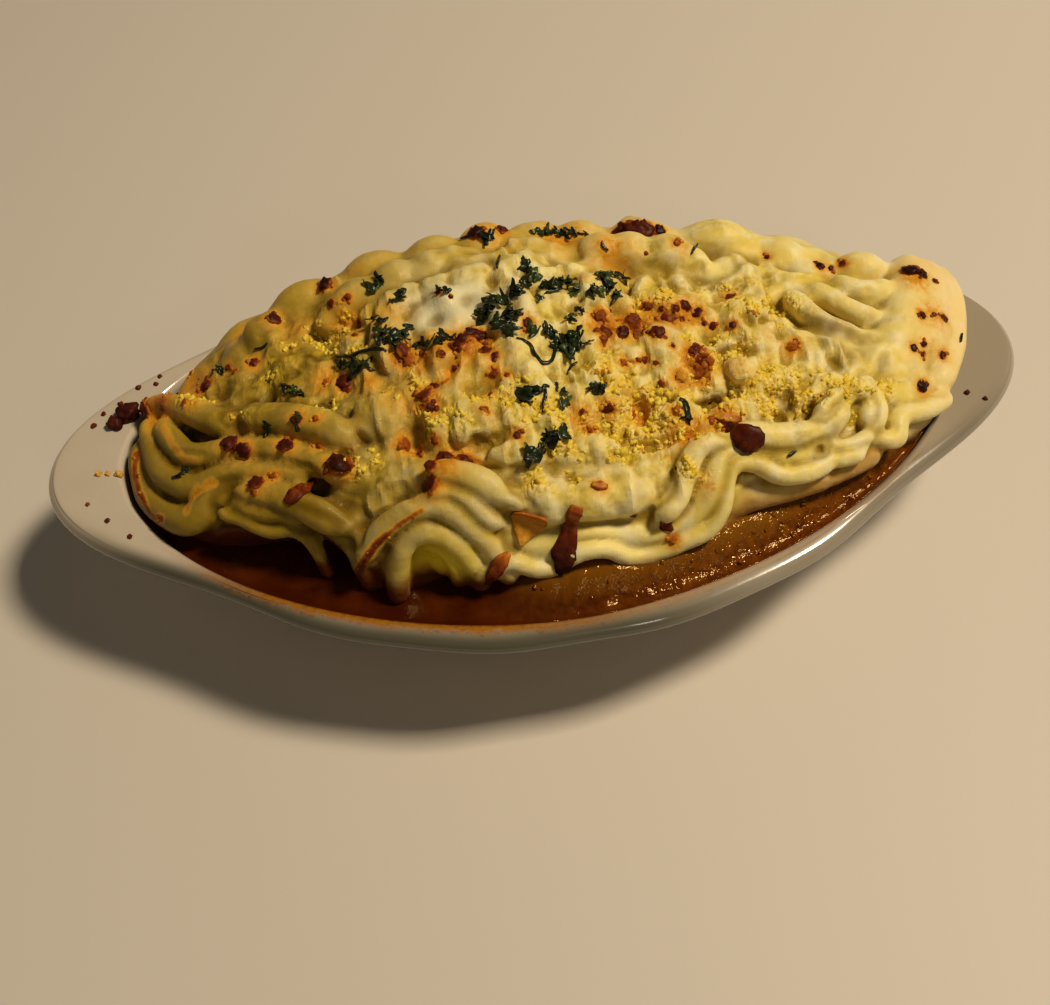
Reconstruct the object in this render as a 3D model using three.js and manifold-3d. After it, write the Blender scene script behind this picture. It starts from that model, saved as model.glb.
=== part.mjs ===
// A cottage-style meat pie with a piped potato top, baked and served in an oval eared gratin dish.
// Units are millimetres. +X runs to the right ear, +Y to the back, +Z up.
// The origin is the middle of the dish's flat foot, on the surface that it stands on.
import * as THREE from 'three';
import { mergeVertices } from 'three/addons/utils/BufferGeometryUtils.js';
import Module from 'manifold-3d';

const wasm = await Module();
wasm.setup();

// ---- driving dimensions ----
const rimHeight = 45;
const fullTurn = 2 * Math.PI;
const centring = 2.49;                  // from the middle between the ears to the middle of the width
const clearance = 0.35;                 // gap kept between touching solids
const dishSectors = 50;

// Plan of the dish's rim, an almond 290 long and 159 wide: mean radius, then the
// cosine harmonics 2, 4, 6, 8 and 10 of the radius.
const rimHarmonics = [100.57, 26.65, 9.37, 4.91, 2.39, 1.12];

// The ears don't sit quite in the middle of the dish's width: seen from them the back of
// the rim and of the bowl draws in, most at the left shoulder (heading, spread in degrees).
const slimBack = { depth: 5, start: 0.5, sharpness: 4 };
const slimShoulder = { heading: 158, spread: 14, depth: 3.5 };

// Plan of the bowl's mouth, an oval inside the rim.
const bowl = { halfLength: 123, halfWidth: 73.5, power: 1.8 };

const sauceLevel = 41.5;
const mashBase = sauceLevel + clearance;

// The mound of mash: a blunt oval whose sides rise steeply to a rough, domed top.
const mound = {
  leftLength: 111,
  rightLength: 123,
  frontWidth: 57,
  backWidth: 61,
  power: 2.6,
  sidePower: 0.45,
  rise: 24,
  peakRise: 12,
  peakX: -15,
  peakWidth: 45,
  backLift: 0.02,
  spineShare: 0.66,
  sectors: 52,
  steps: [1, 0.96, 0.88, 0.76, 0.6, 0.44, 0.28, 0.12],
};

// Where the foot of the mound draws back and lets the sauce show: direction in degrees,
// spread in degrees and depth as a share of the radius.
const mouthDents = [
  { heading: -150, spread: 9, depth: 0.3 },
  { heading: -120, spread: 5, depth: 0.1 },
  { heading: -33, spread: 13, depth: 0.19 },
];

// Hollows between the strokes of the topping: middle, radius and depth.
const pits = [
  [88, 2, 8, 5], [66, 0, 5, 3], [63, -28, 6, 4], [70, -36, 5, 2], [45, -25, 7, 4], [25, -26, 6, 4],
  [34, 19, 7, 5], [-65, -27, 6, 5], [-100, -2, 6, 4], [-60, 18, 8, 4], [12, -34, 6, 3],
];

// Swellings of the mound under the right ruffles: middle, radius and height.
const swellings = [[100, -26, 14, 4], [100, -8, 12, 3]];

// ---- piped ropes ----
// Each rope has a radius and the few points that its ridge passes through.
const leftSweep = [
  [4.5, [-121, 9, 45], [-122, -1, 45], [-119, -13, 46], [-113, -24, 48], [-103, -30, 52],
    [-95, -27, 57], [-87, -27, 60]],
  [4.0, [-117, 14, 48], [-114, -4, 51], [-109, -15, 54], [-101, -22, 57], [-90, -23, 61],
    [-76, -27, 64], [-66, -32, 66]],
  [4.0, [-112, 9, 53], [-107, -4, 56], [-101, -12, 59], [-90, -15, 63], [-78, -19, 66],
    [-64, -28, 68], [-54, -36, 69]],
  [4.2, [-118, 19, 47], [-110, 14, 54], [-101, 5, 60], [-93, -3, 63], [-84, -9, 66]],
  [5.0, [-86, -6, 67], [-74, -11, 70], [-62, -18, 72], [-52, -27, 72]],
];

const frill = [
  [4.6, [-91, -30, 58], [-82, -32, 62], [-73, -36, 64], [-65, -42, 63], [-57, -48, 61]],
  [3.2, [-88, -32, 60], [-80, -36, 60], [-73, -38, 61], [-69, -41, 59]],
  [2.6, [-93, -32, 59], [-86, -36, 57], [-78, -40, 55], [-73, -41, 56], [-68, -44, 53], [-66, -47, 46],
    [-65, -48, 41]],
  [3.4, [-69, -38, 65], [-63, -42, 64], [-58, -46, 62], [-55, -49, 59]],
];

// Nested arches of one coil, seen end on at the front of the pie.
const coil = [
  [3.3, [-56, -54, 54], [-50, -51, 61], [-44, -49, 65], [-38, -48, 67], [-33, -49, 67],
    [-29, -51, 66], [-25, -54, 62], [-21, -57, 57], [-18, -60, 50], [-16, -61, 43]],
  [3.4, [-47, -60, 40], [-46, -57, 50], [-44, -55, 57], [-41, -53, 60], [-37, -53, 62],
    [-33, -54, 61], [-30, -56, 59], [-27, -58, 54], [-25, -60, 47], [-24, -61, 41]],
  [3.2, [-39, -53, 56], [-36, -53, 57], [-33, -55, 56], [-31, -57, 52], [-31, -59, 42]],
  [2.8, [-37, -46, 69], [-33, -46, 70], [-29, -46, 70], [-25, -49, 69], [-22, -52, 66],
    [-17, -55, 62]],
  [3.9, [-35, -41, 73], [-28, -43, 73], [-22, -46, 72], [-16, -50, 69], [-11, -53, 65]],
  [2.8, [-57, -49, 52], [-56, -51, 48], [-55, -53, 44], [-54, -54, 40]],
];

const frontRuffle = [
  [2.8, [-25, -61, 48], [-16, -60, 52], [-5, -61, 48], [2, -60, 52], [10, -60, 51], [15, -61, 47],
    [23, -61, 46], [30, -60, 49], [37, -59, 51], [41, -56, 55], [43, -51, 60], [46, -47, 63],
    [52, -47, 62], [58, -50, 59], [66, -50, 58], [74, -47, 58], [84, -46, 57]],
  [4.4, [-16, -56, 54], [3, -56, 54], [14, -57, 51], [25, -57, 51], [35, -55, 54], [40, -51, 60],
    [45, -44, 64], [60, -45, 60], [70, -44, 60]],
  [6.4, [-14, -50, 66], [0, -52, 64], [14, -52, 62], [25, -51, 61]],
  [4.2, [44, -51, 49], [53, -51, 51], [62, -50, 51], [72, -48, 51], [82, -45, 51], [92, -41, 50]],
  [3.2, [23, -58, 57], [29, -54, 60], [33, -48, 64], [37, -43, 67], [47, -41, 67]],
  [4.2, [46, -40, 68], [56, -42, 66], [66, -42, 64], [74, -39, 63], [81, -32, 65]],
  [2.9, [72, -39, 62], [75, -44, 59], [83, -43, 58], [90, -36, 59], [92, -29, 61]],
  [2.9, [88, -41, 56], [95, -41, 54], [98, -35, 56], [107, -32, 54], [118, -26, 51]],
  [3.0, [87, -40, 58], [90, -31, 60], [97, -28, 58], [104, -28, 56]],
  [3.2, [71, -38, 64], [78, -32, 66], [86, -29, 65], [92, -25, 64]],
];

const rightFan = [
  [5.0, [130, 30, 49], [133, 20, 49], [132, 9, 50], [127, -5, 51], [120, -17, 52], [113, -26, 53]],
  [6.5, [124, 32, 50], [121, 19, 57], [115, 5, 60], [108, -7, 61], [102, -17, 62]],
  [6.0, [127, 30, 50], [127, 18, 54], [123, 5, 56], [117, -8, 57], [110, -18, 57]],
  [4.0, [92, -8, 63], [99, -10, 62], [106, -14, 60], [109, -22, 57]],
  [3.6, [76, 13, 66], [80, 4, 66], [87, -4, 65], [95, -7, 63]],
  [3.6, [84, 16, 65], [90, 7, 65], [97, 1, 64], [104, 0, 62]],
  [3.6, [93, 19, 63], [97, 12, 64], [104, 10, 63], [111, 14, 61]],
  [5.5, [97, 29, 58], [107, 26, 58], [116, 24, 57]],
];

// Rows along the back, laid in waves round the mound: radius, share of the mound's
// radius, ridge height, wave size and the stretch that each covers in degrees.
const backRows = [
  { radius: 6.2, reach: 0.955, height: 48, wave: 2.6, waves: 11, from: 14, to: 168 },
  { radius: 6.4, reach: 0.84, height: 59.5, wave: 2.4, waves: 9, from: 20, to: 162 },
  { radius: 6.0, reach: 0.63, height: 67.5, wave: 1.6, waves: 4, from: 28, to: 66 },
  { radius: 6.0, reach: 0.63, height: 67.5, wave: 1.6, waves: 4, from: 112, to: 158 },
];

// Crags of the rough top, scattered by rule.
const crags = { count: 28, seed: 41, halfLength: 90, halfWidth: 38, smallest: 4.5, largest: 7.5 };

// Knobs that stand up along the back: x, y and radius.
const backKnobs = [[-9, 47, 6], [10, 49, 5], [38, 45, 7], [-54, 36, 6.5], [-76, 28, 6]];

// Edges shorter than this are merged away after the pieces are joined.
const smallestEdge = 1;

// ---- toppings ----
// Browned lumps: x, y and radius.
const brownedLumps = [
  [-119, 22, 4.8], [-113, 24, 4.2], [-94, 12, 3.2], [-86, -12, 3.3], [-82, -17, 2.9],
  [-70, -19, 3.3], [-53, -7, 3.1],
  [-80, -30, 3.4], [-59, -32, 3.8], [-72, 30, 3.6], [-55, 36, 3.6], [-34, -42, 3.8],
  [-28, -39, 3.2], [-22, -40, 2.8],
  [-33, -21, 4.0], [-37, -3, 3.4], [-21, -4, 4.2], [-15, -3, 3.8], [-12, 52, 4.6], [-4, 52, 4.0],
  [21, -2, 3.2],
  [28, 0, 3.2], [40, 1, 3.0], [45, 5, 2.8], [51, 0, 2.8], [57, 8, 3.0], [43, -11, 3.6],
  [44, -17, 3.0], [71, -12, 3.2],
  [50, -40, 4.8], [45, -37, 3.0], [104, -25, 3.6], [115, -14, 3.0], [126, 34, 5.4], [48, 33, 3.0],
  [88, 20, 3.2],
];

// Torn flakes of browned skin: x, y, length, width and heading in degrees.
const brownedFlakes = [
  [-67, -36, 12, 4.6, 35], [-50, -51, 13, 3.0, 38], [-11, -55, 9, 6.0, 5], [-1, -57, 14, 5.0, 70],
  [-21, -60, 8, 4.0, 40], [37, 45, 15, 10.0, 5],
];

// Chopped parsley: x, y, length and heading in degrees.
const parsley = [
  [-44, 27, 9, 100], [-42, 8, 9, 80], [-40, 3, 8, 20], [-52, 1, 10, -10], [-68, -2, 8, -25],
  [-30, -2, 8, -15],
  [-14, 0, 9, 10], [-9, 5, 10, 70], [-5, -1, 7, 60], [1, 21, 9, 85], [-2, 15, 9, 10],
  [5, 11, 9, 150], [13, 11, 9, 30],
  [24, 14, 10, 60], [3, -4, 8, 30], [9, -7, 10, 80], [3, -16, 9, -10], [-5, -26, 8, 50], [35, -31, 8, 95],
  [-1, -38, 9, 20], [-9, -41, 7, 80], [4, -34, 8, 40], [53, 31, 7, 60], [12, 42, 9, 0],
];

// Cheese crumbs, scattered by rule over the browned middle.
const cheese = { count: 18, seed: 7, smallest: 1.7, largest: 2.6 };

// ---- helpers ----

/** A seeded draw of numbers from 0 to 1. */
function drawFrom(seed) {
  let state = seed;
  return () => {
    state = (state * 16807) % 2147483647;
    return state / 2147483647;
  };
}

function polar(radius, angle, z) {
  return new THREE.Vector3(radius * Math.cos(angle), radius * Math.sin(angle), z);
}

/** A closed skin over rings of equally many points, shut by a fan to a pole at each end. */
function skin(firstPole, rings, lastPole) {
  const points = [firstPole, ...rings.flat(), lastPole];
  const sides = rings[0].length;
  const last = points.length - 1;
  const index = [];
  const at = (ring, side) => 1 + ring * sides + (side % sides);
  for (let side = 0; side < sides; side += 1) {
    index.push(0, at(0, side + 1), at(0, side));
    for (let ring = 0; ring < rings.length - 1; ring += 1) {
      index.push(at(ring, side), at(ring, side + 1), at(ring + 1, side + 1));
      index.push(at(ring, side), at(ring + 1, side + 1), at(ring + 1, side));
    }
    index.push(last, at(rings.length - 1, side), at(rings.length - 1, side + 1));
  }
  const geometry = new THREE.BufferGeometry().setFromPoints(points);
  geometry.setIndex(index);
  return geometry;
}

/** A closed skin like the last, but whose last ring is sewn shut along its length. */
function seamedSkin(firstPole, rings) {
  const whole = skin(firstPole, rings, rings.at(-1)[0]);
  const sides = rings[0].length;
  const first = 1 + (rings.length - 1) * sides;
  const pole = first + sides;
  const index = Array.from(whole.getIndex().array);
  const sewn = [];
  for (let i = 0; i < index.length; i += 3) {
    const face = index.slice(i, i + 3);
    if (!face.includes(pole)) sewn.push(...face);
  }
  for (let side = 0; side < sides / 2 - 1; side += 1) {
    const near = [first + side, first + side + 1];
    const far = [first + sides - 1 - side, first + sides - 2 - side];
    sewn.push(near[0], near[1], far[1], near[0], far[1], far[0]);
  }
  whole.setIndex(sewn);
  return whole;
}

function toSolid(geometry) {
  let bare = geometry;
  if (geometry.getAttribute('normal')) {
    bare = geometry.clone();
    bare.deleteAttribute('normal');
    bare.deleteAttribute('uv');
    bare = mergeVertices(bare, 1e-4);
  }
  const vertProperties = new Float32Array(bare.getAttribute('position').array);
  const triVerts = new Uint32Array(bare.getIndex().array);
  return new wasm.Manifold(new wasm.Mesh({ numProp: 3, vertProperties, triVerts }));
}

function fromSolid(solid) {
  const mesh = solid.getMesh();
  const geometry = new THREE.BufferGeometry();
  geometry.setAttribute('position', new THREE.BufferAttribute(mesh.vertProperties, 3));
  geometry.setIndex(new THREE.BufferAttribute(mesh.triVerts, 1));
  geometry.computeVertexNormals();
  return geometry;
}

function joined(solids) {
  return solids.reduce((whole, piece) => whole.add(piece));
}

/** The largest closed skin of a solid: scraps and sealed hollows fall away. */
function mainBody(solid) {
  const pieces = solid.decompose();
  pieces.sort((a, b) => b.volume() - a.volume());
  return pieces[0];
}

function named(name, geometry, material) {
  const mesh = new THREE.Mesh(geometry, material);
  mesh.name = name;
  return mesh;
}

// ---- dish ----

/** Even steps round the dish, drawn together at the ears where the rim bends most. */
function dishAngles() {
  const crowding = 0.34;
  return Array.from({ length: dishSectors }, (_, i) => {
    const turn = (i / dishSectors) * fullTurn;
    return turn - crowding * Math.sin(2 * turn);
  });
}

function degreesFrom(angle, heading) {
  return ((THREE.MathUtils.radToDeg(angle) - heading + 900) % 360) - 180;
}

function drawnIn(angle) {
  const toBack = Math.max(0, Math.sin(angle)) / slimBack.start;
  const off = degreesFrom(angle, slimShoulder.heading) / slimShoulder.spread;
  const back = slimBack.depth * (1 - Math.exp(-(toBack ** slimBack.sharpness)));
  return back + slimShoulder.depth * Math.exp(-(off ** 2));
}

function rimRadius(angle) {
  const even = rimHarmonics.reduce((sum, size, k) => sum + size * Math.cos(2 * k * angle), 0);
  return even - drawnIn(angle);
}

function ovalRadius(angle, halfLength, halfWidth, power) {
  const along = Math.abs(Math.cos(angle)) / halfLength;
  const across = Math.abs(Math.sin(angle)) / halfWidth;
  return (along ** power + across ** power) ** (-1 / power);
}

function bowlRadius(angle) {
  return ovalRadius(angle, bowl.halfLength, bowl.halfWidth, bowl.power) - drawnIn(angle);
}

// The bowl's inside from its mouth down: inset from the mouth and height.
const bowlInside = [[-1.2, 45], [0, 43.8], [1.6, 40], [11, 31], [19.5, 20], [29, 11], [38, 7.4]];
const floorHeight = 6;

function dish() {
  const angles = dishAngles();
  const ring = (radius, z) => angles.map((angle) => polar(radius(angle), angle, z));
  const wall = (outset, z) => ring((a) => Math.min(bowlRadius(a) + outset, rimRadius(a) - 1.2), z);
  const rim = (inset, z) => ring((a) => rimRadius(a) - inset, z);
  const outside = [
    wall(-37, 0), wall(-34.5, 0.8), wall(-26, 6), wall(-16, 16), wall(-6, 29), wall(1.5, 38.8),
    rim(2.6, 39.6), rim(0.7, 40.6), rim(0.1, 42.2), rim(1, 44), rim(3.2, 45.3),
  ];
  const inside = bowlInside.map(([inset, z]) => ring((a) => bowlRadius(a) - inset, z));
  const foot = new THREE.Vector3(0, 0, 0);
  const floor = new THREE.Vector3(0, 0, floorHeight);
  return skin(foot, [...outside, ...inside], floor);
}

// ---- filling ----

/** Meat sauce that fills the bowl to just under its rim, with a lumpy open edge. */
function filling() {
  const angles = dishAngles();
  const side = clearance + 0.2;
  const ring = (inset, height) => angles.map((angle) => {
    const z = typeof height === 'function' ? height(angle) : height;
    return polar(bowlRadius(angle) - inset, angle, z);
  });
  const walls = bowlInside.slice(2).reverse().map(([inset, z]) => ring(inset + side, z + clearance));
  const lumps = (angle) => 0.5 + 0.5 * Math.sin(23 * angle) * Math.cos(9 * angle + 1);
  const top = [
    ring(1.1 + side, sauceLevel - 0.4),
    ring(4.5, (a) => sauceLevel - 0.9 * lumps(a)),
    ring(9, (a) => sauceLevel - 0.9 * lumps(a + 1.3)),
    ring(16, (a) => sauceLevel - 0.5 * lumps(a + 2.1)),
  ];
  const base = new THREE.Vector3(0, 0, floorHeight + clearance);
  const crown = new THREE.Vector3(0, 0, sauceLevel);
  return skin(base, [...walls, ...top], crown);
}

// ---- mash ----

function moundRadius(angle) {
  const length = Math.cos(angle) < 0 ? mound.leftLength : mound.rightLength;
  const width = Math.sin(angle) < 0 ? mound.frontWidth : mound.backWidth;
  return ovalRadius(angle, length, width, mound.power);
}

/** How far the mound's foot draws back in a direction, as a share of its radius. */
function mouthDent(angle) {
  const share = ({ heading, spread, depth }) => {
    const off = degreesFrom(angle, heading) / spread;
    return depth * Math.exp(-(off ** 2));
  };
  return mouthDents.reduce((sum, dent) => sum + share(dent), 0);
}

/** Uneven strokes of the fork over the top of the mound. */
function roughness(x, y) {
  const long = 1.8 * Math.sin(0.21 * x + 0.13 * y + 1) * Math.sin(0.17 * y - 0.08 * x);
  const short = 1.4 * Math.sin(0.47 * x - 0.22 * y) * Math.sin(0.39 * y + 0.15 * x + 2);
  return long + short;
}

function bumps(list, x, y) {
  return list.reduce((sum, [px, py, radius, size]) => {
    const away = Math.hypot(x - px, y - py) / radius;
    return sum + size * Math.exp(-(away ** 2));
  }, 0);
}

function pitDepth(x, y) {
  return bumps(pits, x, y) - bumps(swellings, x, y);
}

/** How high a place of the plan stands between the mound's foot, 0, and its crown, 1. */
function moundLevel(x, y) {
  const share = Math.hypot(x, y) / moundRadius(Math.atan2(y, x));
  return Math.max(0, 1 - share ** mound.power) ** mound.sidePower;
}

function moundHeight(x, y) {
  const level = moundLevel(x, y);
  const peak = mound.peakRise * Math.exp(-(((x - mound.peakX) / mound.peakWidth) ** 2));
  const rough = (roughness(x, y) - pitDepth(x, y)) * Math.min(1, level * 1.2);
  const lift = mound.backLift * Math.max(0, y);
  return mashBase + (mound.rise + peak + lift) * level + rough;
}

/** The mound as rings that close in on a spine along its length. */
function moundCore() {
  const ringAt = (step) => Array.from({ length: mound.sectors }, (_, i) => {
    const angle = ((i + 0.5) / mound.sectors) * fullTurn;
    const outer = polar(moundRadius(angle), angle, 0);
    const point = new THREE.Vector3(outer.x * mound.spineShare, 0, 0).lerp(outer, step);
    const drawn = mouthDent(angle) * (1 - moundLevel(point.x, point.y)) ** 2;
    const z = step === 1 ? mashBase : moundHeight(point.x, point.y);
    return point.multiplyScalar(1 - drawn).setZ(z);
  });
  const rings = mound.steps.map(ringAt);
  return toSolid(seamedSkin(new THREE.Vector3(0, 0, mashBase), rings));
}

/** Pulls a ridge point in towards the mound's core, so that a rope lies half sunk. */
function sunk(point, depth) {
  const spine = new THREE.Vector3(THREE.MathUtils.clamp(point.x, -70, 80), 0, 36);
  return point.clone().add(spine.sub(point).setLength(depth));
}

/** A rope of mash along a ridge, rounded off at both ends. */
function rope(radius, ridge, steps = 0) {
  const sides = 6;
  const path = new THREE.CatmullRomCurve3(ridge.map((point) => sunk(point, radius * 0.8)));
  const count = steps || Math.max(6, Math.round(path.getLength() / (radius * 2.7)));
  const frames = path.computeFrenetFrames(count, false);
  const rings = [];
  for (let i = 0; i <= count; i += 1) {
    const along = i / count;
    const middle = path.getPointAt(along);
    const ends = Math.min(1, 0.5 + 2.2 * Math.min(along, 1 - along) * Math.sqrt(count / 6));
    rings.push(Array.from({ length: sides }, (_, side) => {
      const angle = (side / sides) * fullTurn;
      const across = frames.normals[i].clone().multiplyScalar(Math.cos(angle) * radius * ends);
      const over = frames.binormals[i].clone().multiplyScalar(Math.sin(angle) * radius * ends);
      return middle.clone().add(across).add(over);
    }));
  }
  const reach = radius * 0.3;
  const start = path.getPointAt(0).addScaledVector(frames.tangents[0], -reach);
  const end = path.getPointAt(1).addScaledVector(frames.tangents[count], reach);
  return toSolid(skin(start, rings, end));
}

function listedRopes() {
  const all = [...leftSweep, ...frill, ...coil, ...frontRuffle, ...rightFan];
  return all.map(([radius, ...ridge]) => rope(radius, ridge.map((p) => new THREE.Vector3(...p))));
}

/** One wavy row along the back of the mound. */
function backRow(row) {
  const count = row.waves * 2;
  const ridge = Array.from({ length: count + 1 }, (_, i) => {
    const angle = THREE.MathUtils.degToRad(row.from + ((row.to - row.from) * i) / count);
    const swing = i % 2 === 0 ? row.wave : -row.wave;
    const point = polar(moundRadius(angle) * row.reach, angle, 0);
    const peak = 0.5 * mound.peakRise * Math.exp(-(((point.x - mound.peakX) / mound.peakWidth) ** 2));
    point.z = row.height + peak + swing;
    return point;
  });
  return rope(row.radius, ridge, count);
}

function lump(x, y, z, radius, draw) {
  const geometry = new THREE.IcosahedronGeometry(radius, 0);
  geometry.rotateX(draw() * fullTurn);
  geometry.scale(1 + 0.6 * draw(), 0.8 + 0.3 * draw(), 0.5 + 0.3 * draw());
  geometry.rotateZ(draw() * fullTurn);
  geometry.translate(x, y, z);
  return toSolid(geometry);
}

/** Crags over the top, each half sunk in the mound. */
function cragSolids() {
  const draw = drawFrom(crags.seed);
  const solids = [];
  while (solids.length < crags.count) {
    const angle = draw() * fullTurn;
    const away = Math.sqrt(draw());
    const radius = crags.smallest + (crags.largest - crags.smallest) * draw() ** 2;
    const x = crags.halfLength * away * Math.cos(angle) + 4;
    const y = crags.halfWidth * away * Math.sin(angle);
    const inSmoothPatch = Math.hypot((x + 21) / 16, (y - 12) / 11) < 1;
    if (!inSmoothPatch) {
      solids.push(lump(x, y, moundHeight(x, y) - radius * 0.3, radius, draw));
    }
  }
  return solids;
}

function knobSolids() {
  const draw = drawFrom(5);
  return backKnobs.map(([x, y, radius]) => lump(x, y, moundHeight(x, y) + radius * 0.1, radius, draw));
}

/** Everything outside the bowl's mouth below the rim, and all that is below the sauce. */
function keepOut() {
  const angles = dishAngles();
  const ring = (radius, z) => angles.map((angle) => polar(radius(angle), angle, z));
  const far = () => 200;
  const mouth = (angle) => bowlRadius(angle) - 1.2 - clearance;
  const top = rimHeight + 0.3 + clearance;
  const trayRings = [
    ring(far, -5), ring(far, top), ring((a) => mouth(a) + 2.4, top),
    ring(mouth, mashBase + 1.6), ring(mouth, mashBase),
  ];
  return toSolid(skin(new THREE.Vector3(0, 0, -5), trayRings, new THREE.Vector3(0, 0, mashBase)));
}

/** Finds where the mash lies under a point of the plan, looking straight down. */
function surfaceFinder(solid) {
  const mesh = new THREE.Mesh(fromSolid(solid), new THREE.MeshBasicMaterial());
  const ray = new THREE.Raycaster();
  const down = new THREE.Vector3(0, 0, -1);
  return (x, y) => {
    ray.set(new THREE.Vector3(x, y, 200), down);
    const hit = ray.intersectObject(mesh)[0];
    return hit ? { point: hit.point, normal: hit.face.normal } : null;
  };
}

/** Turns a geometry from its own up axis to a surface's normal and sets it there. */
function laid(geometry, spot, heading, sink) {
  const tilt = new THREE.Quaternion().setFromUnitVectors(new THREE.Vector3(0, 0, 1), spot.normal);
  geometry.rotateZ(heading);
  geometry.applyQuaternion(tilt);
  geometry.translate(...spot.point.clone().addScaledVector(spot.normal, -sink).toArray());
  return toSolid(geometry);
}

function brownedLumpSolids(find, draw) {
  return brownedLumps.map(([x, y, radius]) => {
    const Shape = radius > 3.1 ? THREE.IcosahedronGeometry : THREE.OctahedronGeometry;
    const geometry = new Shape(radius, 0);
    geometry.scale(1, 0.75 + 0.3 * draw(), 0.7);
    return { spot: find(x, y), geometry, heading: draw() * fullTurn, sink: radius * 0.1 };
  });
}

/** A thin curled flake: a strip whose rings rise in the middle and taper to both ends. */
function flakeGeometry(length, width, thickness, curl) {
  const steps = 3;
  const rings = [];
  for (let i = 1; i < steps; i += 1) {
    const along = i / steps - 0.5;
    const half = (width / 2) * Math.cos(along * 2.2);
    const lift = curl * (0.25 - along * along) * 4;
    const x = along * length;
    rings.push([
      new THREE.Vector3(x, -half, lift - thickness / 2),
      new THREE.Vector3(x, half, lift - thickness / 2),
      new THREE.Vector3(x, half, lift + thickness / 2),
      new THREE.Vector3(x, -half, lift + thickness / 2),
    ]);
  }
  return skin(new THREE.Vector3(-length / 2, 0, 0), rings, new THREE.Vector3(length / 2, 0, 0));
}

function flakeSolids(find, draw) {
  const browned = brownedFlakes.map(([x, y, length, width, heading]) => ({
    spot: find(x, y),
    geometry: flakeGeometry(length, width, 1.8, 0.8),
    heading: THREE.MathUtils.degToRad(heading),
    sink: 0.2,
  }));
  const leaves = parsley.map(([x, y, length, heading]) => ({
    spot: find(x, y),
    geometry: flakeGeometry(length, length * (0.3 + 0.15 * draw()), 1.1, 0.7),
    heading: THREE.MathUtils.degToRad(heading),
    sink: 0.1,
  }));
  return [...browned, ...leaves];
}

function cheeseSolids(find) {
  const draw = drawFrom(cheese.seed);
  return Array.from({ length: cheese.count }, () => {
    const x = -80 + 170 * draw();
    const y = -38 + 62 * draw();
    const radius = cheese.smallest + (cheese.largest - cheese.smallest) * draw();
    const geometry = new THREE.OctahedronGeometry(radius, 0);
    geometry.scale(1, 0.8 + 0.4 * draw(), 0.8);
    return { spot: find(x, y), geometry, heading: draw() * fullTurn, sink: radius * 0.2 };
  });
}

function mash() {
  const ropes = [...listedRopes(), ...backRows.map(backRow)];
  const bare = joined([moundCore(), ...cragSolids(), ...knobSolids(), ...ropes]);
  const body = mainBody(bare.subtract(keepOut()));
  const find = surfaceFinder(body);
  const draw = drawFrom(19);
  const toppings = [...brownedLumpSolids(find, draw), ...flakeSolids(find, draw), ...cheeseSolids(find)];
  const clear = toppings.filter(({ spot }) => spot && spot.normal.z > 0.15);
  const solids = clear.map(({ geometry, spot, heading, sink }) => laid(geometry, spot, heading, sink));
  const whole = joined([body, ...solids]).simplify(smallestEdge).subtract(keepOut());
  return fromSolid(mainBody(whole));
}

// ---- the pie ----

const glaze = new THREE.MeshStandardMaterial({ color: 0xd9d2c4, roughness: 0.18, metalness: 0 });
const sauce = new THREE.MeshStandardMaterial({ color: 0x6b2a0c, roughness: 0.3, metalness: 0 });
const potato = new THREE.MeshStandardMaterial({ color: 0xe6d69c, roughness: 0.6, metalness: 0 });

const pie = new THREE.Group();
pie.position.y = centring;
pie.add(named('dish', dish(), glaze));
pie.add(named('filling', filling(), sauce));
pie.add(named('mash', mash(), potato));

export default pie;
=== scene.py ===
import math

import bmesh
import bpy
import numpy as np
from mathutils import Matrix, Vector, noise
from mathutils.bvhtree import BVHTree


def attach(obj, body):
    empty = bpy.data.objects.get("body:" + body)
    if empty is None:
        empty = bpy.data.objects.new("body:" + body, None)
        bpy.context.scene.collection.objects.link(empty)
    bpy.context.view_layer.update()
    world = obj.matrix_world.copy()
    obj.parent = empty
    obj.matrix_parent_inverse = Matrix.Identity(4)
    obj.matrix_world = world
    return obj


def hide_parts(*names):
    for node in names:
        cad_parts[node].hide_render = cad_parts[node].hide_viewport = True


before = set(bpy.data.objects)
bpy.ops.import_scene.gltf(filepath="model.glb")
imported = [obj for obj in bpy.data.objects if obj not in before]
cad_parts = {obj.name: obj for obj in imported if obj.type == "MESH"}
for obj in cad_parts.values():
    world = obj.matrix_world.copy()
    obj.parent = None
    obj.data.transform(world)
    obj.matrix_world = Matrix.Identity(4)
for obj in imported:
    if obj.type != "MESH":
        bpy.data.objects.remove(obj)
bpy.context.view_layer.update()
print("frame loaded:", sorted(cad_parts))

# Sizes are millimetres, measured from the middle between the dish's ears on the table.
# The frame's own origin is the middle of the dish's width, so metres() adds this step.
centring = 2.49
mm = 0.001
fullTurn = 2 * math.pi
drawFactor = 16807
drawRange = 2147483647


def drawFrom(seed):
    # repeatable draws from 0 to 1
    state = [seed]

    def draw():
        state[0] = state[0] * drawFactor % drawRange
        return state[0] / drawRange
    return draw


def metres(points):
    return (np.asarray(points, float).reshape(-1, 3) + (0, centring, 0)) * mm


def millimetres(points):
    return np.asarray(points, float).reshape(-1, 3) * 1000 - (0, centring, 0)


def newObject(name, data):
    made = bpy.data.objects.new(name, data)
    bpy.context.scene.collection.objects.link(made)
    return made


def makePiece(name, points, faces):
    mesh = bpy.data.meshes.new(name)
    mesh.from_pydata(metres(points).tolist(), [], faces)
    mesh.shade_smooth()
    return newObject(name, mesh)


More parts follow.
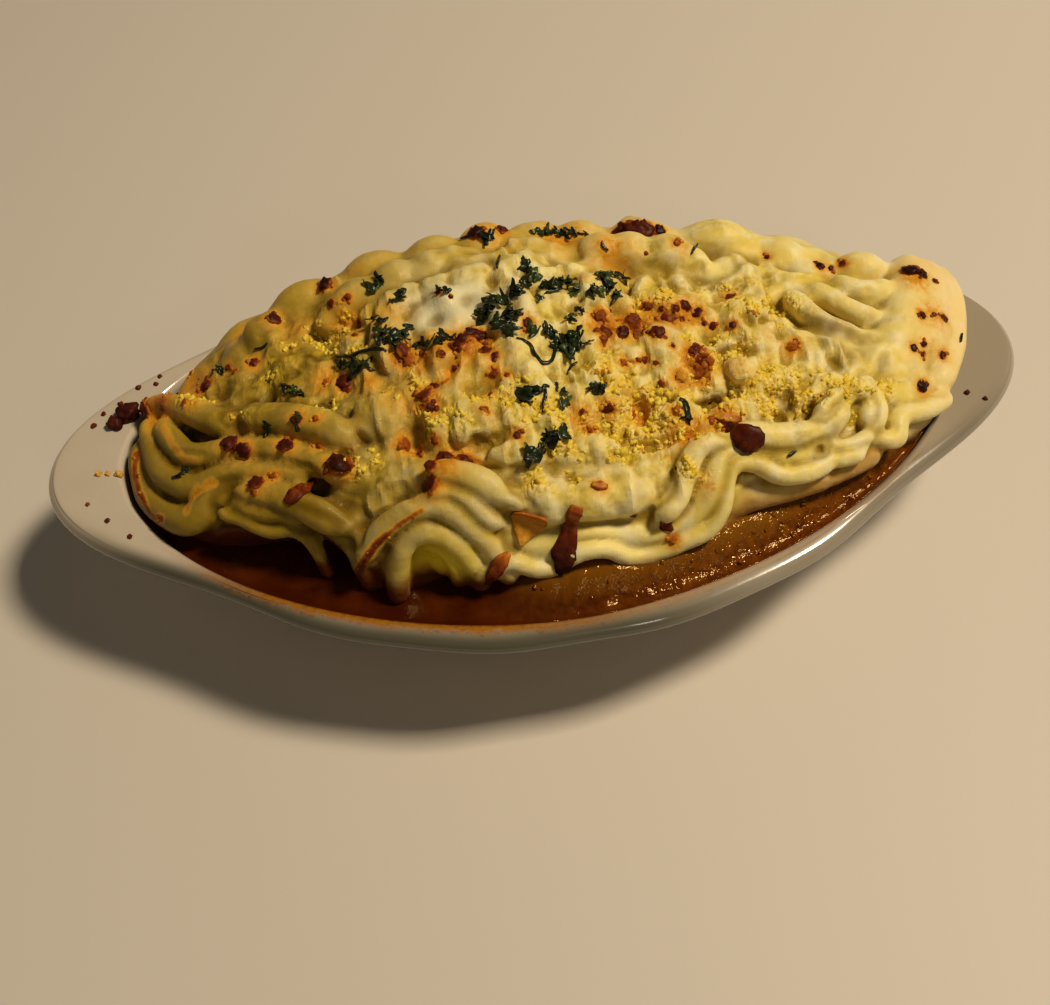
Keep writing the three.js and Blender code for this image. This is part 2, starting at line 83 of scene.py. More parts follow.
def joinPieces(name, pieces):
    bm = bmesh.new()
    for piece in pieces:
        bm.from_mesh(piece.data)
        bpy.data.objects.remove(piece)
    mesh = bpy.data.meshes.new(name)
    bm.to_mesh(mesh)
    bm.free()
    mesh.shade_smooth()
    return newObject(name, mesh)


def asPlainMesh(piece, name):
    # the evaluated result as a mesh of its own, with the modifiers gone
    graph = bpy.context.evaluated_depsgraph_get()
    mesh = bpy.data.meshes.new_from_object(piece.evaluated_get(graph))
    mesh.name = name
    made = newObject(name, mesh)
    bpy.data.objects.remove(piece)
    return made


def readValues(items, what, width=1):
    values = np.zeros(len(items) * width)
    items.foreach_get(what, values)
    return values


def getPoints(piece):
    return millimetres(readValues(piece.data.vertices, "co", 3))


def setPoints(piece, points):
    piece.data.vertices.foreach_set("co", metres(points).ravel())
    piece.data.update()


def getNormals(piece):
    return readValues(piece.data.vertex_normals, "vector", 3).reshape(-1, 3)


def setMasks(piece, **masks):
    for name, values in masks.items():
        layer = piece.data.attributes.new(name, "FLOAT", "POINT")
        layer.data.foreach_set("value", np.clip(values, 0, 1).astype(np.float32))


def treeOf(piece):
    return BVHTree.FromPolygons(getPoints(piece).tolist(), [p.vertices for p in piece.data.polygons])


def fractalAt(points, size, seed, octaves=3):
    # about -1 to 1, with lumps roughly size millimetres across
    shift = Vector((seed * 17.3, seed * 5.1, seed * 9.7))
    return np.array([noise.fractal(Vector(p) / size + shift, 1.0, 2.0, octaves) for p in points])


def smoothStep(values, low, high):
    # 0 below low and 1 above high
    t = np.clip((values - low) / (high - low), 0, 1)
    return t * t * (3 - 2 * t)


def polar(points):
    # heading and distance from the middle, in plan
    return np.arctan2(points[:, 1], points[:, 0]), np.hypot(points[:, 0], points[:, 1])


def ringAt(angles, radius, z):
    return np.stack([radius * np.cos(angles), radius * np.sin(angles), z + 0 * angles], -1)


def distanceTo(points, spot):
    return np.linalg.norm(points - np.array(spot), axis=1)


def ballShape(level):
    # an icosphere's directions and faces
    bm = bmesh.new()
    bmesh.ops.create_icosphere(bm, subdivisions=level, radius=1)
    directions = [vert.co.copy() for vert in bm.verts]
    faces = [[vert.index for vert in face.verts] for face in bm.faces]
    bm.free()
    return directions, faces


def closedSkin(firstPole, rings, lastPole):
    # rings of equally many points, shut by a fan to a pole at each end
    rings = np.asarray(rings, float)
    count, sides = rings.shape[:2]
    points = np.vstack([[firstPole], rings.reshape(-1, 3), [lastPole]])
    last = len(points) - 1
    top = last - sides
    faces = []
    for side in range(sides):
        after = (side + 1) % sides
        faces.append((0, 1 + after, 1 + side))
        for low in range(1, top, sides):
            high = low + sides
            faces.append((low + side, low + after, high + after, high + side))
        faces.append((last, top + side, top + after))
    return points, faces


def feed(tree, node, inputs):
    # each input takes another node's output or a plain value
    for name, value in inputs.items():
        if isinstance(value, bpy.types.NodeSocket):
            tree.links.new(value, node.inputs[name])
        else:
            node.inputs[name].default_value = value


def addNode(tree, kind, inputs=None, **settings):
    made = tree.nodes.new(kind)
    for name, value in settings.items():
        setattr(made, name, value)
    feed(tree, made, inputs or {})
    return made


def newGroup(name, kind, inputs, outputs):
    # inputs are label, socket and value, and outputs are label and socket
    group = bpy.data.node_groups.new(name, kind)
    for label, socket, value in inputs:
        made = group.interface.new_socket(label, in_out="INPUT", socket_type="NodeSocket" + socket)
        if value is not None:
            made.default_value = value
    for label, socket in outputs:
        group.interface.new_socket(label, in_out="OUTPUT", socket_type="NodeSocket" + socket)
    start = group.nodes.new("NodeGroupInput")
    end = group.nodes.new("NodeGroupOutput")
    return group, start.outputs, end.inputs


class Nodes:
    # short forms for the nodes of one shader tree, with sizes in millimetres
    def __init__(self, tree, coords):
        self.tree = tree
        self.coords = coords

    def math(self, operation, a, b, clamp=False):
        settings = {"operation": operation, "use_clamp": clamp}
        return addNode(self.tree, "ShaderNodeMath", {0: a, 1: b}, **settings).outputs[0]

    def times(self, product, *factors):
        for factor in factors:
            product = self.math("MULTIPLY", product, factor)
        return product

    def mix(self, amount, a, b):
        a, b = ((*colour, 1) if isinstance(colour, tuple) else colour for colour in (a, b))
        return addNode(self.tree, "ShaderNodeMix", {0: amount, 6: a, 7: b}, data_type="RGBA").outputs[2]

    def span(self, value, low, high, newLow=0.0, newHigh=1.0):
        inputs = {"Value": value, "From Min": low, "From Max": high, "To Min": newLow, "To Max": newHigh}
        return addNode(self.tree, "ShaderNodeMapRange", inputs).outputs[0]

    def lumps(self, size, detail=3.0, roughness=0.5):
        inputs = {"Vector": self.coords, "Scale": 1000 / size, "Detail": detail, "Roughness": roughness}
        return addNode(self.tree, "ShaderNodeTexNoise", inputs).outputs[0]

    def ramp(self, value, stops):
        made = addNode(self.tree, "ShaderNodeValToRGB", {"Fac": value})
        elements = made.color_ramp.elements
        while len(elements) < len(stops):
            elements.new(0.5)
        for element, (place, colour) in zip(elements, stops):
            element.position = place
            element.color = (*colour, 1)
        return made.outputs[0]


class Finish(Nodes):
    # a material in the making, with the colour that its layers have mixed so far
    def __init__(self, name, colour=None):
        self.material = bpy.data.materials.new(name)
        self.material.use_nodes = True
        tree = self.material.node_tree
        super().__init__(tree, addNode(tree, "ShaderNodeTexCoord").outputs["Object"])
        self.colour = colour

    def axes(self):
        return addNode(self.tree, "ShaderNodeSeparateXYZ", {"Vector": self.coords}).outputs

    def mask(self, name, share=None):
        found = addNode(self.tree, "ShaderNodeAttribute", attribute_name=name).outputs["Fac"]
        return self.times(found, share) if share else found

    def grain(self, coarse, fine):
        inputs = {"Vector": self.coords, "Coarse": 1000 / coarse, "Fine": 1000 / fine}
        made = addNode(self.tree, "ShaderNodeGroup", inputs, node_tree=grainGroup)
        return made.outputs["Height"], made.outputs["Mottle"]

    def layer(self, amount, colour):
        self.colour = self.mix(amount, self.colour, colour)

    def toast(self, amount, grain):
        inputs = {"Colour": self.colour, "Amount": amount, "Grain": grain, "Vector": self.coords}
        self.colour = addNode(self.tree, "ShaderNodeGroup", inputs, node_tree=toastGroup).outputs[0]

    def done(self, height, strength, depth, surface):
        # the bump's strength and its depth, then what the surface is like
        inputs = {"Height": height, "Strength": strength, "Distance": depth * mm}
        bump = addNode(self.tree, "ShaderNodeBump", inputs).outputs[0]
        inputs = {"Base Color": self.colour, "Normal": bump, **surface}
        feed(self.tree, self.tree.nodes["Principled BSDF"], inputs)
        return self.material


shot = {
    "imageWidth": 1050,
    "focalLength": 1200,
    "sensor": 36,
    "position": (-26.45, -225.75, 319.88),
    "right": (0.98684, -0.15501, -0.04592),
    "up": (0.15334, 0.80746, 0.56964),
    "forward": (0.05122, 0.56919, -0.82061),
    "nearest": 0.01,
}


def makeCamera():
    lens = bpy.data.cameras.new("camera")
    lens.sensor_width = shot["sensor"]
    lens.lens = shot["sensor"] * shot["focalLength"] / shot["imageWidth"]
    lens.clip_start = shot["nearest"]
    camera = newObject("camera", lens)
    right, up, forward = (Vector(shot[axis]) for axis in ("right", "up", "forward"))
    camera.matrix_world = Matrix((right, up, -forward)).transposed().to_4x4()
    camera.location = metres(shot["position"])[0]
    bpy.context.scene.camera = camera


# places and widths in metres
studio = {
    "lamps": {
        "key": {"place": (0.92, 0.0, 1.60), "size": 0.30, "power": 29.0, "colour": (1.0, 0.83, 0.60)},
        "front": {"place": (0.25, -0.95, 0.75), "size": 0.15, "power": 0.6, "colour": (1.0, 0.9, 0.75)},
        "side": {"place": (-0.9, 0.35, 0.7), "size": 0.8, "power": 0.1, "colour": (1.0, 0.9, 0.78)},
    },
    "aim": (0, 0, 0.04),
    "sky": (1.0, 0.88, 0.68, 1),
    "skyStrength": 0.07,
    "floorColour": (0.66, 0.61, 0.54, 1),
    "floorRoughness": 0.6,
    "floorWidth": 8.0,
}


def makeStudio():
    for name, setting in studio["lamps"].items():
        lamp = bpy.data.lights.new(name, "AREA")
        lamp.size = setting["size"]
        lamp.energy = setting["power"]
        lamp.color = setting["colour"]
        lit = newObject(name, lamp)
        lit.location = setting["place"]
        beam = Vector(studio["aim"]) - Vector(setting["place"])
        lit.rotation_euler = beam.to_track_quat("-Z", "Y").to_euler()
    world = bpy.data.worlds.new("studio")
    world.use_nodes = True
    sky = world.node_tree.nodes["Background"]
    feed(world.node_tree, sky, {"Color": studio["sky"], "Strength": studio["skyStrength"]})
    bpy.context.scene.world = world
    bpy.context.scene.view_settings.view_transform = "Standard"
    material = bpy.data.materials.new("paleFloor")
    material.use_nodes = True
    feed(material.node_tree, material.node_tree.nodes["Principled BSDF"], {
        "Base Color": studio["floorColour"], "Roughness": studio["floorRoughness"]})
    half = studio["floorWidth"] / 2
    mesh = bpy.data.meshes.new("floor")
    corners = [(-half, -half, 0), (half, -half, 0), (half, half, 0), (-half, half, 0)]
    mesh.from_pydata(corners, [], [(0, 1, 2, 3)])
    mesh.materials.append(material)
    newObject("floor", mesh)


makeCamera()
makeStudio()
print("camera, light and floor ready")

# from barely golden through red brown to burnt
toastStops = [
    (0.0, (0.80, 0.55, 0.11)), (0.3, (0.68, 0.32, 0.022)), (0.52, (0.38, 0.095, 0.006)),
    (0.74, (0.12, 0.016, 0.003)), (1.0, (0.022, 0.004, 0.002)),
]


def makeToastGroup():
    # turns a colour through golden and red brown to burnt, with a grain of its own
    inputs = [("Colour", "Color", None), ("Amount", "Float", 0.0), ("Grain", "Float", 0.25),
              ("Vector", "Vector", None)]
    group, start, end = newGroup("toast", "ShaderNodeTree", inputs, [("Colour", "Color")])
    paint = Nodes(group, start["Vector"])
    uneven = paint.math("SUBTRACT", paint.lumps(2.2, 4.0, 0.65), 0.5)
    begun = paint.math("MINIMUM", paint.times(start["Amount"], 5.0), 1.0)
    shaded = paint.times(uneven, start["Grain"], begun)
    amount = paint.math("ADD", start["Amount"], shaded, clamp=True)
    share = paint.span(amount, 0.04, 0.32)
    group.links.new(paint.mix(share, start["Colour"], paint.ramp(amount, toastStops)), end["Colour"])
    return group


def makeGrainGroup():
    # fine unevenness: a height for bumps and a mask for mottling
    inputs = [("Vector", "Vector", None), ("Coarse", "Float", 400.0), ("Fine", "Float", 1300.0)]
    outputs = [("Height", "Float"), ("Mottle", "Float")]
    group, start, end = newGroup("grain", "ShaderNodeTree", inputs, outputs)
    paint = Nodes(group, start["Vector"])

    def lumpsOf(size, detail):
        inputs = {"Vector": start["Vector"], "Scale": start[size], "Detail": detail}
        return addNode(group, "ShaderNodeTexNoise", inputs).outputs[0]

    wide = lumpsOf("Coarse", 3.0)
    height = paint.math("ADD", wide, paint.times(lumpsOf("Fine", 2.0), 0.4))
    group.links.new(height, end["Height"])
    group.links.new(paint.span(wide, 0.35, 0.65), end["Mottle"])
    return group


toastGroup = makeToastGroup()
grainGroup = makeGrainGroup()

dishShape = {
    "rimHarmonics": (100.57, 26.65, 9.37, 4.91, 2.39, 1.12),
    "bowlHalfLength": 123,
    "bowlHalfWidth": 73.5,
    "bowlPower": 1.8,
    "backDepth": 5,
    "backStart": 0.5,
    "backSharpness": 4,
    "shoulderHeading": 158,
    "shoulderSpread": 14,
    "shoulderDepth": 3.5,
    # outset from the bowl's mouth and height, from the foot up to the underside of the rim
    "outerWall": [(-37, 0), (-34.5, 0.8), (-26, 6), (-16, 16), (-6, 29), (1.5, 38.8)],
    # inset from the rim's edge and height
    "rimEdge": [(2.6, 39.6), (0.7, 40.6), (0.1, 42.2), (0.8, 43.8), (2.2, 44.9), (4.2, 45.35)],
    # inset from the bowl's mouth and height, going down
    "innerWall": [(-2.6, 45.2), (-1.2, 45), (0, 43.8), (1.6, 40), (11, 31), (19.5, 20), (29, 11), (38, 7.4)],
    "floorHeight": 6,
    "sectors": 420,
    "stepsPerStation": 5,
    "crowding": 0.34,
    "rimMargin": 1.2,
    # how far the painted shade on the rim's outer edge reaches in, and the sauce's stain from the bowl's
    # mouth
    "lipReach": 8.0,
    "stainReach": 20,
}


def degreesFrom(angle, heading):
    return (np.degrees(angle) - heading + 900) % 360 - 180


def drawnIn(angle):
    toBack = np.maximum(0, np.sin(angle)) / dishShape["backStart"]
    off = degreesFrom(angle, dishShape["shoulderHeading"]) / dishShape["shoulderSpread"]
    back = dishShape["backDepth"] * (1 - np.exp(-(toBack ** dishShape["backSharpness"])))
    return back + dishShape["shoulderDepth"] * np.exp(-(off ** 2))


def rimRadius(angle):
    even = sum(size * np.cos(2 * k * angle) for k, size in enumerate(dishShape["rimHarmonics"]))
    return even - drawnIn(angle)


def ovalRadius(angle, halfLength, halfWidth, power):
    along = np.abs(np.cos(angle)) / halfLength
    across = np.abs(np.sin(angle)) / halfWidth
    return (along ** power + across ** power) ** (-1 / power)


def bowlRadius(angle):
    oval = ovalRadius(angle, dishShape["bowlHalfLength"], dishShape["bowlHalfWidth"], dishShape["bowlPower"])
    return oval - drawnIn(angle)


def evenTurns(count):
    turn = np.arange(count) / count * fullTurn
    return turn - dishShape["crowding"] * np.sin(2 * turn)


def roundedStations(stations, steps):
    # a smooth line through the stations of a section: (count, sectors, 2)
    line = []
    padded = [stations[0], *stations, stations[-1]]
    for p0, p1, p2, p3 in zip(padded, padded[1:], padded[2:], padded[3:]):
        for step in range(steps):
            t = step / steps
            line.append(0.5 * (2 * p1 + (p2 - p0) * t + (2 * p0 - 5 * p1 + 4 * p2 - p3) * t ** 2
                               + (3 * p1 - p0 - 3 * p2 + p3) * t ** 3))
    line.append(stations[-1])
    return np.array(line)


def buildDish():
    angles = evenTurns(dishShape["sectors"])
    mouth = bowlRadius(angles)
    rim = rimRadius(angles)
    widest = rim - dishShape["rimMargin"]
    stations = [(np.minimum(mouth + outset, widest), z) for outset, z in dishShape["outerWall"]]
    stations += [(rim - inset, z) for inset, z in dishShape["rimEdge"]]
    stations += [(mouth - inset, z) for inset, z in dishShape["innerWall"]]
    section = np.array([np.stack([radius, np.full_like(radius, z)], 1) for radius, z in stations])
    line = roundedStations(section, dishShape["stepsPerStation"])
    rings = ringAt(angles, line[..., 0], np.maximum(line[..., 1], 0))
    points, faces = closedSkin((0, 0, 0), rings, (0, 0, dishShape["floorHeight"]))
    piece = makePiece("dish_glazed", points, faces)
    angle, away = polar(points)
    x, y, z = points.T
    # painted shade on the front of the rim's outer edge, less towards the right
    lip = (1 - smoothStep(rimRadius(angle) - away, 1.5, dishShape["lipReach"])) * smoothStep(-y, 10, 40)
    fromMouth = (away - bowlRadius(angle) + 4) / dishShape["stainReach"]
    setMasks(piece, mouthDistance=fromMouth, upper=smoothStep(z, 38, 43),
             lip=lip * (1 - 0.55 * smoothStep(x, 10, 60)))
    return piece


def glazeMaterial():
    paint = Finish("creamyGlaze")
    height, mottle = paint.grain(22.0, 5.0)
    x, y = paint.axes()[:2]
    paint.colour = paint.mix(mottle, (0.55, 0.475, 0.37), (0.59, 0.515, 0.405))
    # painted shade: the glaze darker towards the right end
    paint.layer(paint.span(x, 0.05, 0.12), (0.34, 0.29, 0.215))
    # painted shade: the front of the rim's outer edge darkened
    paint.layer(paint.mask("lip", 0.95), (0.085, 0.08, 0.052))
    # sauce that has run over the bowl's edge, most along the front left
    away = paint.mask("mouthDistance")
    fine = paint.lumps(1.6, 3.0, 0.6)
    reach = paint.math("ADD", paint.times(paint.lumps(5.0, 4.0, 0.7), 0.2), 0.26)
    inside = paint.math("SUBTRACT", reach, away)
    front = paint.span(y, -0.028, -0.05)
    left = paint.span(x, 0.045, -0.02, 0.3, 1.0)
    stain = paint.times(paint.span(inside, -0.05, 0.06), front, left, paint.mask("upper"))
    ragged = paint.span(fine, 0.35, 0.65, -0.3, 0.3)
    outer = paint.math("ADD", paint.span(away, 0.14, 0.27), ragged, clamp=True)
    stainColour = paint.mix(outer, (0.10, 0.016, 0.001), (0.34, 0.135, 0.011))
    crust = paint.times(paint.span(inside, 0.0, 0.035, 1.0, 0.0), paint.span(fine, 0.5, 0.6))
    paint.layer(stain, paint.mix(crust, stainColour, (0.12, 0.035, 0.006)))
    return paint.done(height, 0.25, 0.25, {
        "Roughness": paint.span(mottle, 0.0, 1.0, 0.13, 0.2), "Coat Weight": 0.4, "Coat Roughness": 0.06})


dish = buildDish()
dish.data.materials.append(glazeMaterial())
print("dish ready:", len(dish.data.polygons), "faces")

sauce = {
    "level": 41.5,
    "wallGap": 0.25,
    "lift": 0.3,
    "sectors": 620,
    "firstInset": 0.6,
    "fineReach": 30.0,
    "fineRings": 44,
    "wideInsets": [36, 44, 54, 66],
    "meniscus": 1.3,
    "meniscusReach": 1.2,
    "bank": 5.5,
    "bankReach": 13,
    "bankLess": 8,
    "broadSize": 9.0,
    "fineSize": 2.2,
}


def sauceHeight(x, y, inset):
    points = np.stack([x, y, 0 * x], 1)
    toRight = smoothStep(x, -26, -6)
    broad = (0.45 + 0.3 * toRight) * fractalAt(points, sauce["broadSize"], 3)
    fine = (0.1 + 0.25 * toRight) * fractalAt(points, sauce["fineSize"], 8)
    height = sauce["level"] - sauce["lift"] + broad + fine
    # a meniscus at the wall, and a bank of thicker sauce up to the ruffle at the right
    height = height + sauce["meniscus"] * math.exp(-inset / sauce["meniscusReach"])
    reach = sauce["bankReach"] - sauce["bankLess"] * smoothStep(x, 75, 95)
    return height + sauce["bank"] * toRight * smoothStep(inset, 1.5, reach)


def buildSauce():
    angles = evenTurns(sauce["sectors"])
    mouth = bowlRadius(angles)
    rings = [ringAt(angles, mouth - inset - sauce["wallGap"], z + sauce["lift"])
             for inset, z in reversed(dishShape["innerWall"][3:])]
    fineSteps = sauce["fineReach"] * np.linspace(0, 1, sauce["fineRings"])
    for inset in [*(sauce["firstInset"] + fineSteps), *sauce["wideInsets"]]:
        ring = ringAt(angles, np.maximum(mouth - inset, 1.0), 0)
        ring[:, 2] = sauceHeight(ring[:, 0], ring[:, 1], inset - sauce["firstInset"])
        rings.append(ring)
    points, faces = closedSkin((0, 0, dishShape["floorHeight"] + 0.5), rings, (0, 0, sauce["level"]))
    piece = makePiece("meat_sauce", points, faces)
    angle, away = polar(points)
    inset = bowlRadius(angle) - away
    x, y, z = points.T
    front = smoothStep(-y, 20, 45) * (z > sauce["level"] - 3) * (inset > 1) * (inset < 11)
    setMasks(piece, edge=np.exp(-(inset / 3.2) ** 2), grains=front * (0.03 + 0.9 * smoothStep(x, -25, 45)),
             bank=smoothStep(z, sauce["level"] + 0.5, sauce["level"] + 5))
    return piece


def sauceMaterial(name, lift=1.0):
    def lifted(red, green, blue):
        return red * lift, green * lift, blue

    paint = Finish(name)
    height, mottle = paint.grain(2.4, 0.9)
    x = paint.axes()[0]
    toRight = paint.span(x, -0.03, 0.03)
    broad = paint.span(paint.lumps(14.0), 0.35, 0.65)
    dark = paint.mix(broad, lifted(0.036, 0.005, 0.0005), lifted(0.070, 0.012, 0.001))
    light = paint.mix(mottle, lifted(0.075, 0.015, 0.001), lifted(0.18, 0.050, 0.003))
    paint.colour = paint.mix(toRight, dark, light)
    paint.layer(paint.mask("bank", 0.85), paint.mix(toRight, (0.18, 0.06, 0.003), (0.21, 0.078, 0.004)))
    paint.layer(paint.mask("edge", 0.8), paint.mix(toRight, (0.05, 0.007, 0.001), (0.12, 0.026, 0.002)))
    rippled = paint.times(height, paint.span(x, -0.03, 0.03, 0.25, 1.0))
    return paint.done(rippled, 0.85, 0.6, {
        "Roughness": 0.07, "Specular IOR Level": 0.4, "Specular Tint": (1.0, 0.74, 0.36, 1)})


filling = buildSauce()
filling.data.materials.append(sauceMaterial("glossySauce"))
print("sauce ready:", len(filling.data.polygons), "faces")

mound = {
    "base": 41.0,
    "shoulder": 41.85,
    "skirt": 3,
    "leftLength": 111, "rightLength": 123, "frontWidth": 57, "backWidth": 61,
    "power": 2.6, "sidePower": 0.45, "ringCrowding": 1.6,
    "rise": 24, "peakRise": 12, "peakX": -15, "peakWidth": 45, "backLift": 0.02,
    "spineShare": 0.66, "sectors": 260, "rings": 46,
    # heading in degrees, spread and depth
    "dents": [(-150, 9, 0.3), (-120, 5, 0.1), (-33, 13, 0.19)],
    "voxel": 0.72,
}

# hollows between the strokes of the topping: x, y, radius and depth
pits = [
    (88, 2, 8, 5), (66, 0, 5, 3), (63, -28, 6, 4), (70, -36, 5, 2), (45, -25, 7, 4), (100, -26, 14, -4),
    (100, -8, 12, -3), (25, -26, 6, 4), (34, 19, 7, 5), (-65, -27, 6, 5), (-100, -2, 6, 4), (-60, 18, 8, 4),
    (12, -34, 6, 3),
]

# ropes: radius, then the points that the ridge passes through
leftSweep = [
    [4.5, (-119.5, 9, 45), (-120, -1, 45), (-117.5, -12.5, 46), (-111.5, -23, 48), (-103, -30, 52),
     (-95, -27, 57), (-87, -27, 60)],
    [4.0, (-117, 14, 48), (-114, -4, 51), (-109, -15, 54), (-101, -22, 57), (-90, -23, 61),
     (-76, -27, 64), (-66, -32, 66)],
    [4.0, (-112, 9, 53), (-107, -4, 56), (-101, -12, 59), (-90, -15, 63), (-78, -19, 66), (-64, -28, 68),
     (-54, -36, 69)],
    [4.2, (-118, 19, 47), (-110, 14, 54), (-101, 5, 60), (-93, -3, 63), (-84, -9, 66)],
    [5.0, (-86, -6, 67), (-74, -11, 70), (-62, -18, 72), (-52, -27, 72)],
]
frill = [
    [4.6, (-91, -30, 58), (-82, -32, 62), (-73, -36, 64), (-65, -42, 63), (-57, -48, 61)],
    [3.2, (-88, -32, 60), (-80, -36, 60), (-73, -38, 61), (-69, -41, 59)],
    [2.2, (-93, -32, 59), (-90, -34, 58), (-86, -36, 57.5), (-82, -38.5, 56), (-78, -40, 55),
     (-73.5, -40.5, 56), (-70, -42, 55), (-67.5, -44.5, 52), (-66.7, -46, 49), (-66.2, -47, 45),
     (-65, -48.5, 40)],
    [3.4, (-69, -38, 65), (-63, -42, 64), (-58, -46, 62), (-55, -49.5, 59)],
]
coil = [
    [3.3, (-56, -54, 54), (-50, -51, 61), (-44, -49, 65), (-38, -48, 67), (-33, -49, 67), (-29, -51, 66),
     (-25, -54, 62), (-21, -57, 57), (-18, -60, 50), (-16.5, -61.5, 43)],
    [3.4, (-47.5, -60, 39), (-47, -58.5, 45), (-46, -56.5, 51), (-44, -55, 57), (-41, -53, 60),
     (-37, -53, 62), (-33, -54, 61), (-30, -56, 59), (-27, -58, 54), (-25, -60, 47), (-24.5, -61, 41)],
    [3.2, (-39, -53, 56), (-36, -53.5, 57), (-33, -55, 56), (-31, -57, 52), (-30.5, -58.5, 47),
     (-31, -59, 42)],
    [5.0, (-39, -54, 51), (-35, -55, 51), (-32, -56, 48), (-31, -57, 43)],
    [2.8, (-37, -46, 69), (-33, -46, 70), (-29, -46, 70), (-25, -49, 69), (-22, -52, 66), (-17, -55, 62)],
    [3.9, (-35, -41, 73), (-28, -43, 73), (-22, -46, 72), (-16, -50, 69), (-11, -53, 65)],
    [2.8, (-57, -49.5, 52), (-56, -51, 48), (-54.8, -53, 44), (-54, -54, 39)],
]
frontRuffle = [
    [2.8, (-25, -61, 48), (-16, -60, 52), (-11, -61, 49), (-5, -61, 48), (2, -60, 52), (10, -60, 51),
     (15, -61, 47), (23, -61, 46), (30, -60, 49), (37, -59, 51), (41, -56, 55), (43, -51, 60),
     (46, -47, 63), (52, -47, 62), (58, -50, 59), (66, -50, 58), (74, -47, 58), (84, -46, 57)],
    [4.4, (-16, -56, 54), (-5, -57, 52), (3, -56, 54), (14, -57, 51), (25, -57, 51), (35, -55, 54),
     (40, -51, 60), (45, -44, 64), (52, -43, 63), (60, -45, 60), (70, -44, 60)],
    [6.4, (-14, -50, 66), (0, -52, 64), (14, -52, 62), (25, -51, 61)],
    [3.2, (23, -58, 57), (29, -54, 60), (33, -48, 64), (37, -43, 67), (47, -41, 67)],
    [4.2, (46, -40, 68), (56, -42, 66), (66, -42, 64), (74, -39, 63), (81, -32, 65)],
    [2.9, (72, -39, 62), (75, -44, 59), (83, -43, 58), (90, -36, 59), (92, -29, 61)],
    [4.2, (44, -51, 49), (53, -51, 51), (62, -50, 51), (72, -48, 51), (82, -45, 51), (92, -41, 50)],
    [2.9, (88, -41, 56), (95, -41, 54), (98, -35, 56), (107, -32, 54), (118, -26, 51)],
    [3.0, (87, -40, 58), (90, -31, 60), (97, -28, 58), (104, -28, 56)],
    [3.2, (71, -38, 64), (78, -32, 66), (86, -29, 65), (92, -25, 64)],
]
rightFan = [
    [5.0, (130, 30, 49), (133, 20, 49), (132, 9, 50), (127, -5, 51), (120, -17, 52), (113, -26, 53)],
    [6.5, (124, 32, 50), (121, 19, 57), (115, 5, 60), (108, -7, 61), (102, -17, 62)],
    [6.0, (127, 30, 50), (127, 18, 54), (123, 5, 56), (117, -8, 57), (110, -18, 57)],
    [4.0, (92, -8, 63), (99, -10, 62), (106, -14, 60), (109, -22, 57)],
    [3.6, (76, 13, 66), (80, 4, 66), (87, -4, 65), (95, -7, 63)],
    [3.6, (84, 16, 65), (90, 7, 65), (97, 1, 64), (104, 0, 62)],
    [3.6, (93, 19, 63), (97, 12, 64), (104, 10, 63), (111, 14, 61)],
    [5.5, (97, 29, 58), (107, 26, 58), (116, 24, 57)],
]
# wavy rows round the back: radius, share of the mound, height, swing, waves, from and to degrees
backRows = [
    (6.2, 0.955, 48, 2.6, 11, 14, 168),
    (6.4, 0.84, 59.5, 2.4, 9, 20, 162),
    (6.0, 0.63, 67.5, 1.6, 4, 28, 66),
    (6.0, 0.63, 67.5, 1.6, 4, 112, 158),
]
crags = {
    "count": 28, "seed": 41, "halfLength": 90, "halfWidth": 38, "shift": 4, "smallest": 4.5, "largest": 7.5,
    "sink": 0.3,
}
knobs = {
    "places": [(-9, 47, 6), (10, 49, 5), (38, 45, 7), (-54, 36, 6.5), (-76, 28, 6)],
    "seed": 5,
    "lift": 0.1,
}
smoothPatch = {"x": -21, "y": 12, "halfLength": 16, "halfWidth": 11}


def moundRadius(angle):
    length = np.where(np.cos(angle) < 0, mound["leftLength"], mound["rightLength"])
    width = np.where(np.sin(angle) < 0, mound["frontWidth"], mound["backWidth"])
    return ovalRadius(angle, length, width, mound["power"])


def moundLevel(x, y):
    share = np.hypot(x, y) / moundRadius(np.arctan2(y, x))
    return np.maximum(0, 1 - share ** mound["power"]) ** mound["sidePower"]


def peakAt(x):
    return mound["peakRise"] * np.exp(-(((x - mound["peakX"]) / mound["peakWidth"]) ** 2))


def moundHeight(x, y):
    level = moundLevel(x, y)
    strokes = 1.8 * np.sin(0.21 * x + 0.13 * y + 1) * np.sin(0.17 * y - 0.08 * x)
    strokes = strokes + 1.4 * np.sin(0.47 * x - 0.22 * y) * np.sin(0.39 * y + 0.15 * x + 2)
    depth = sum(d * np.exp(-((x - px) ** 2 + (y - py) ** 2) / r ** 2) for px, py, r, d in pits)
    rise = mound["rise"] + peakAt(x) + mound["backLift"] * np.maximum(0, y)
    return mound["shoulder"] + rise * level + (strokes - depth) * np.minimum(1, level * 1.2)


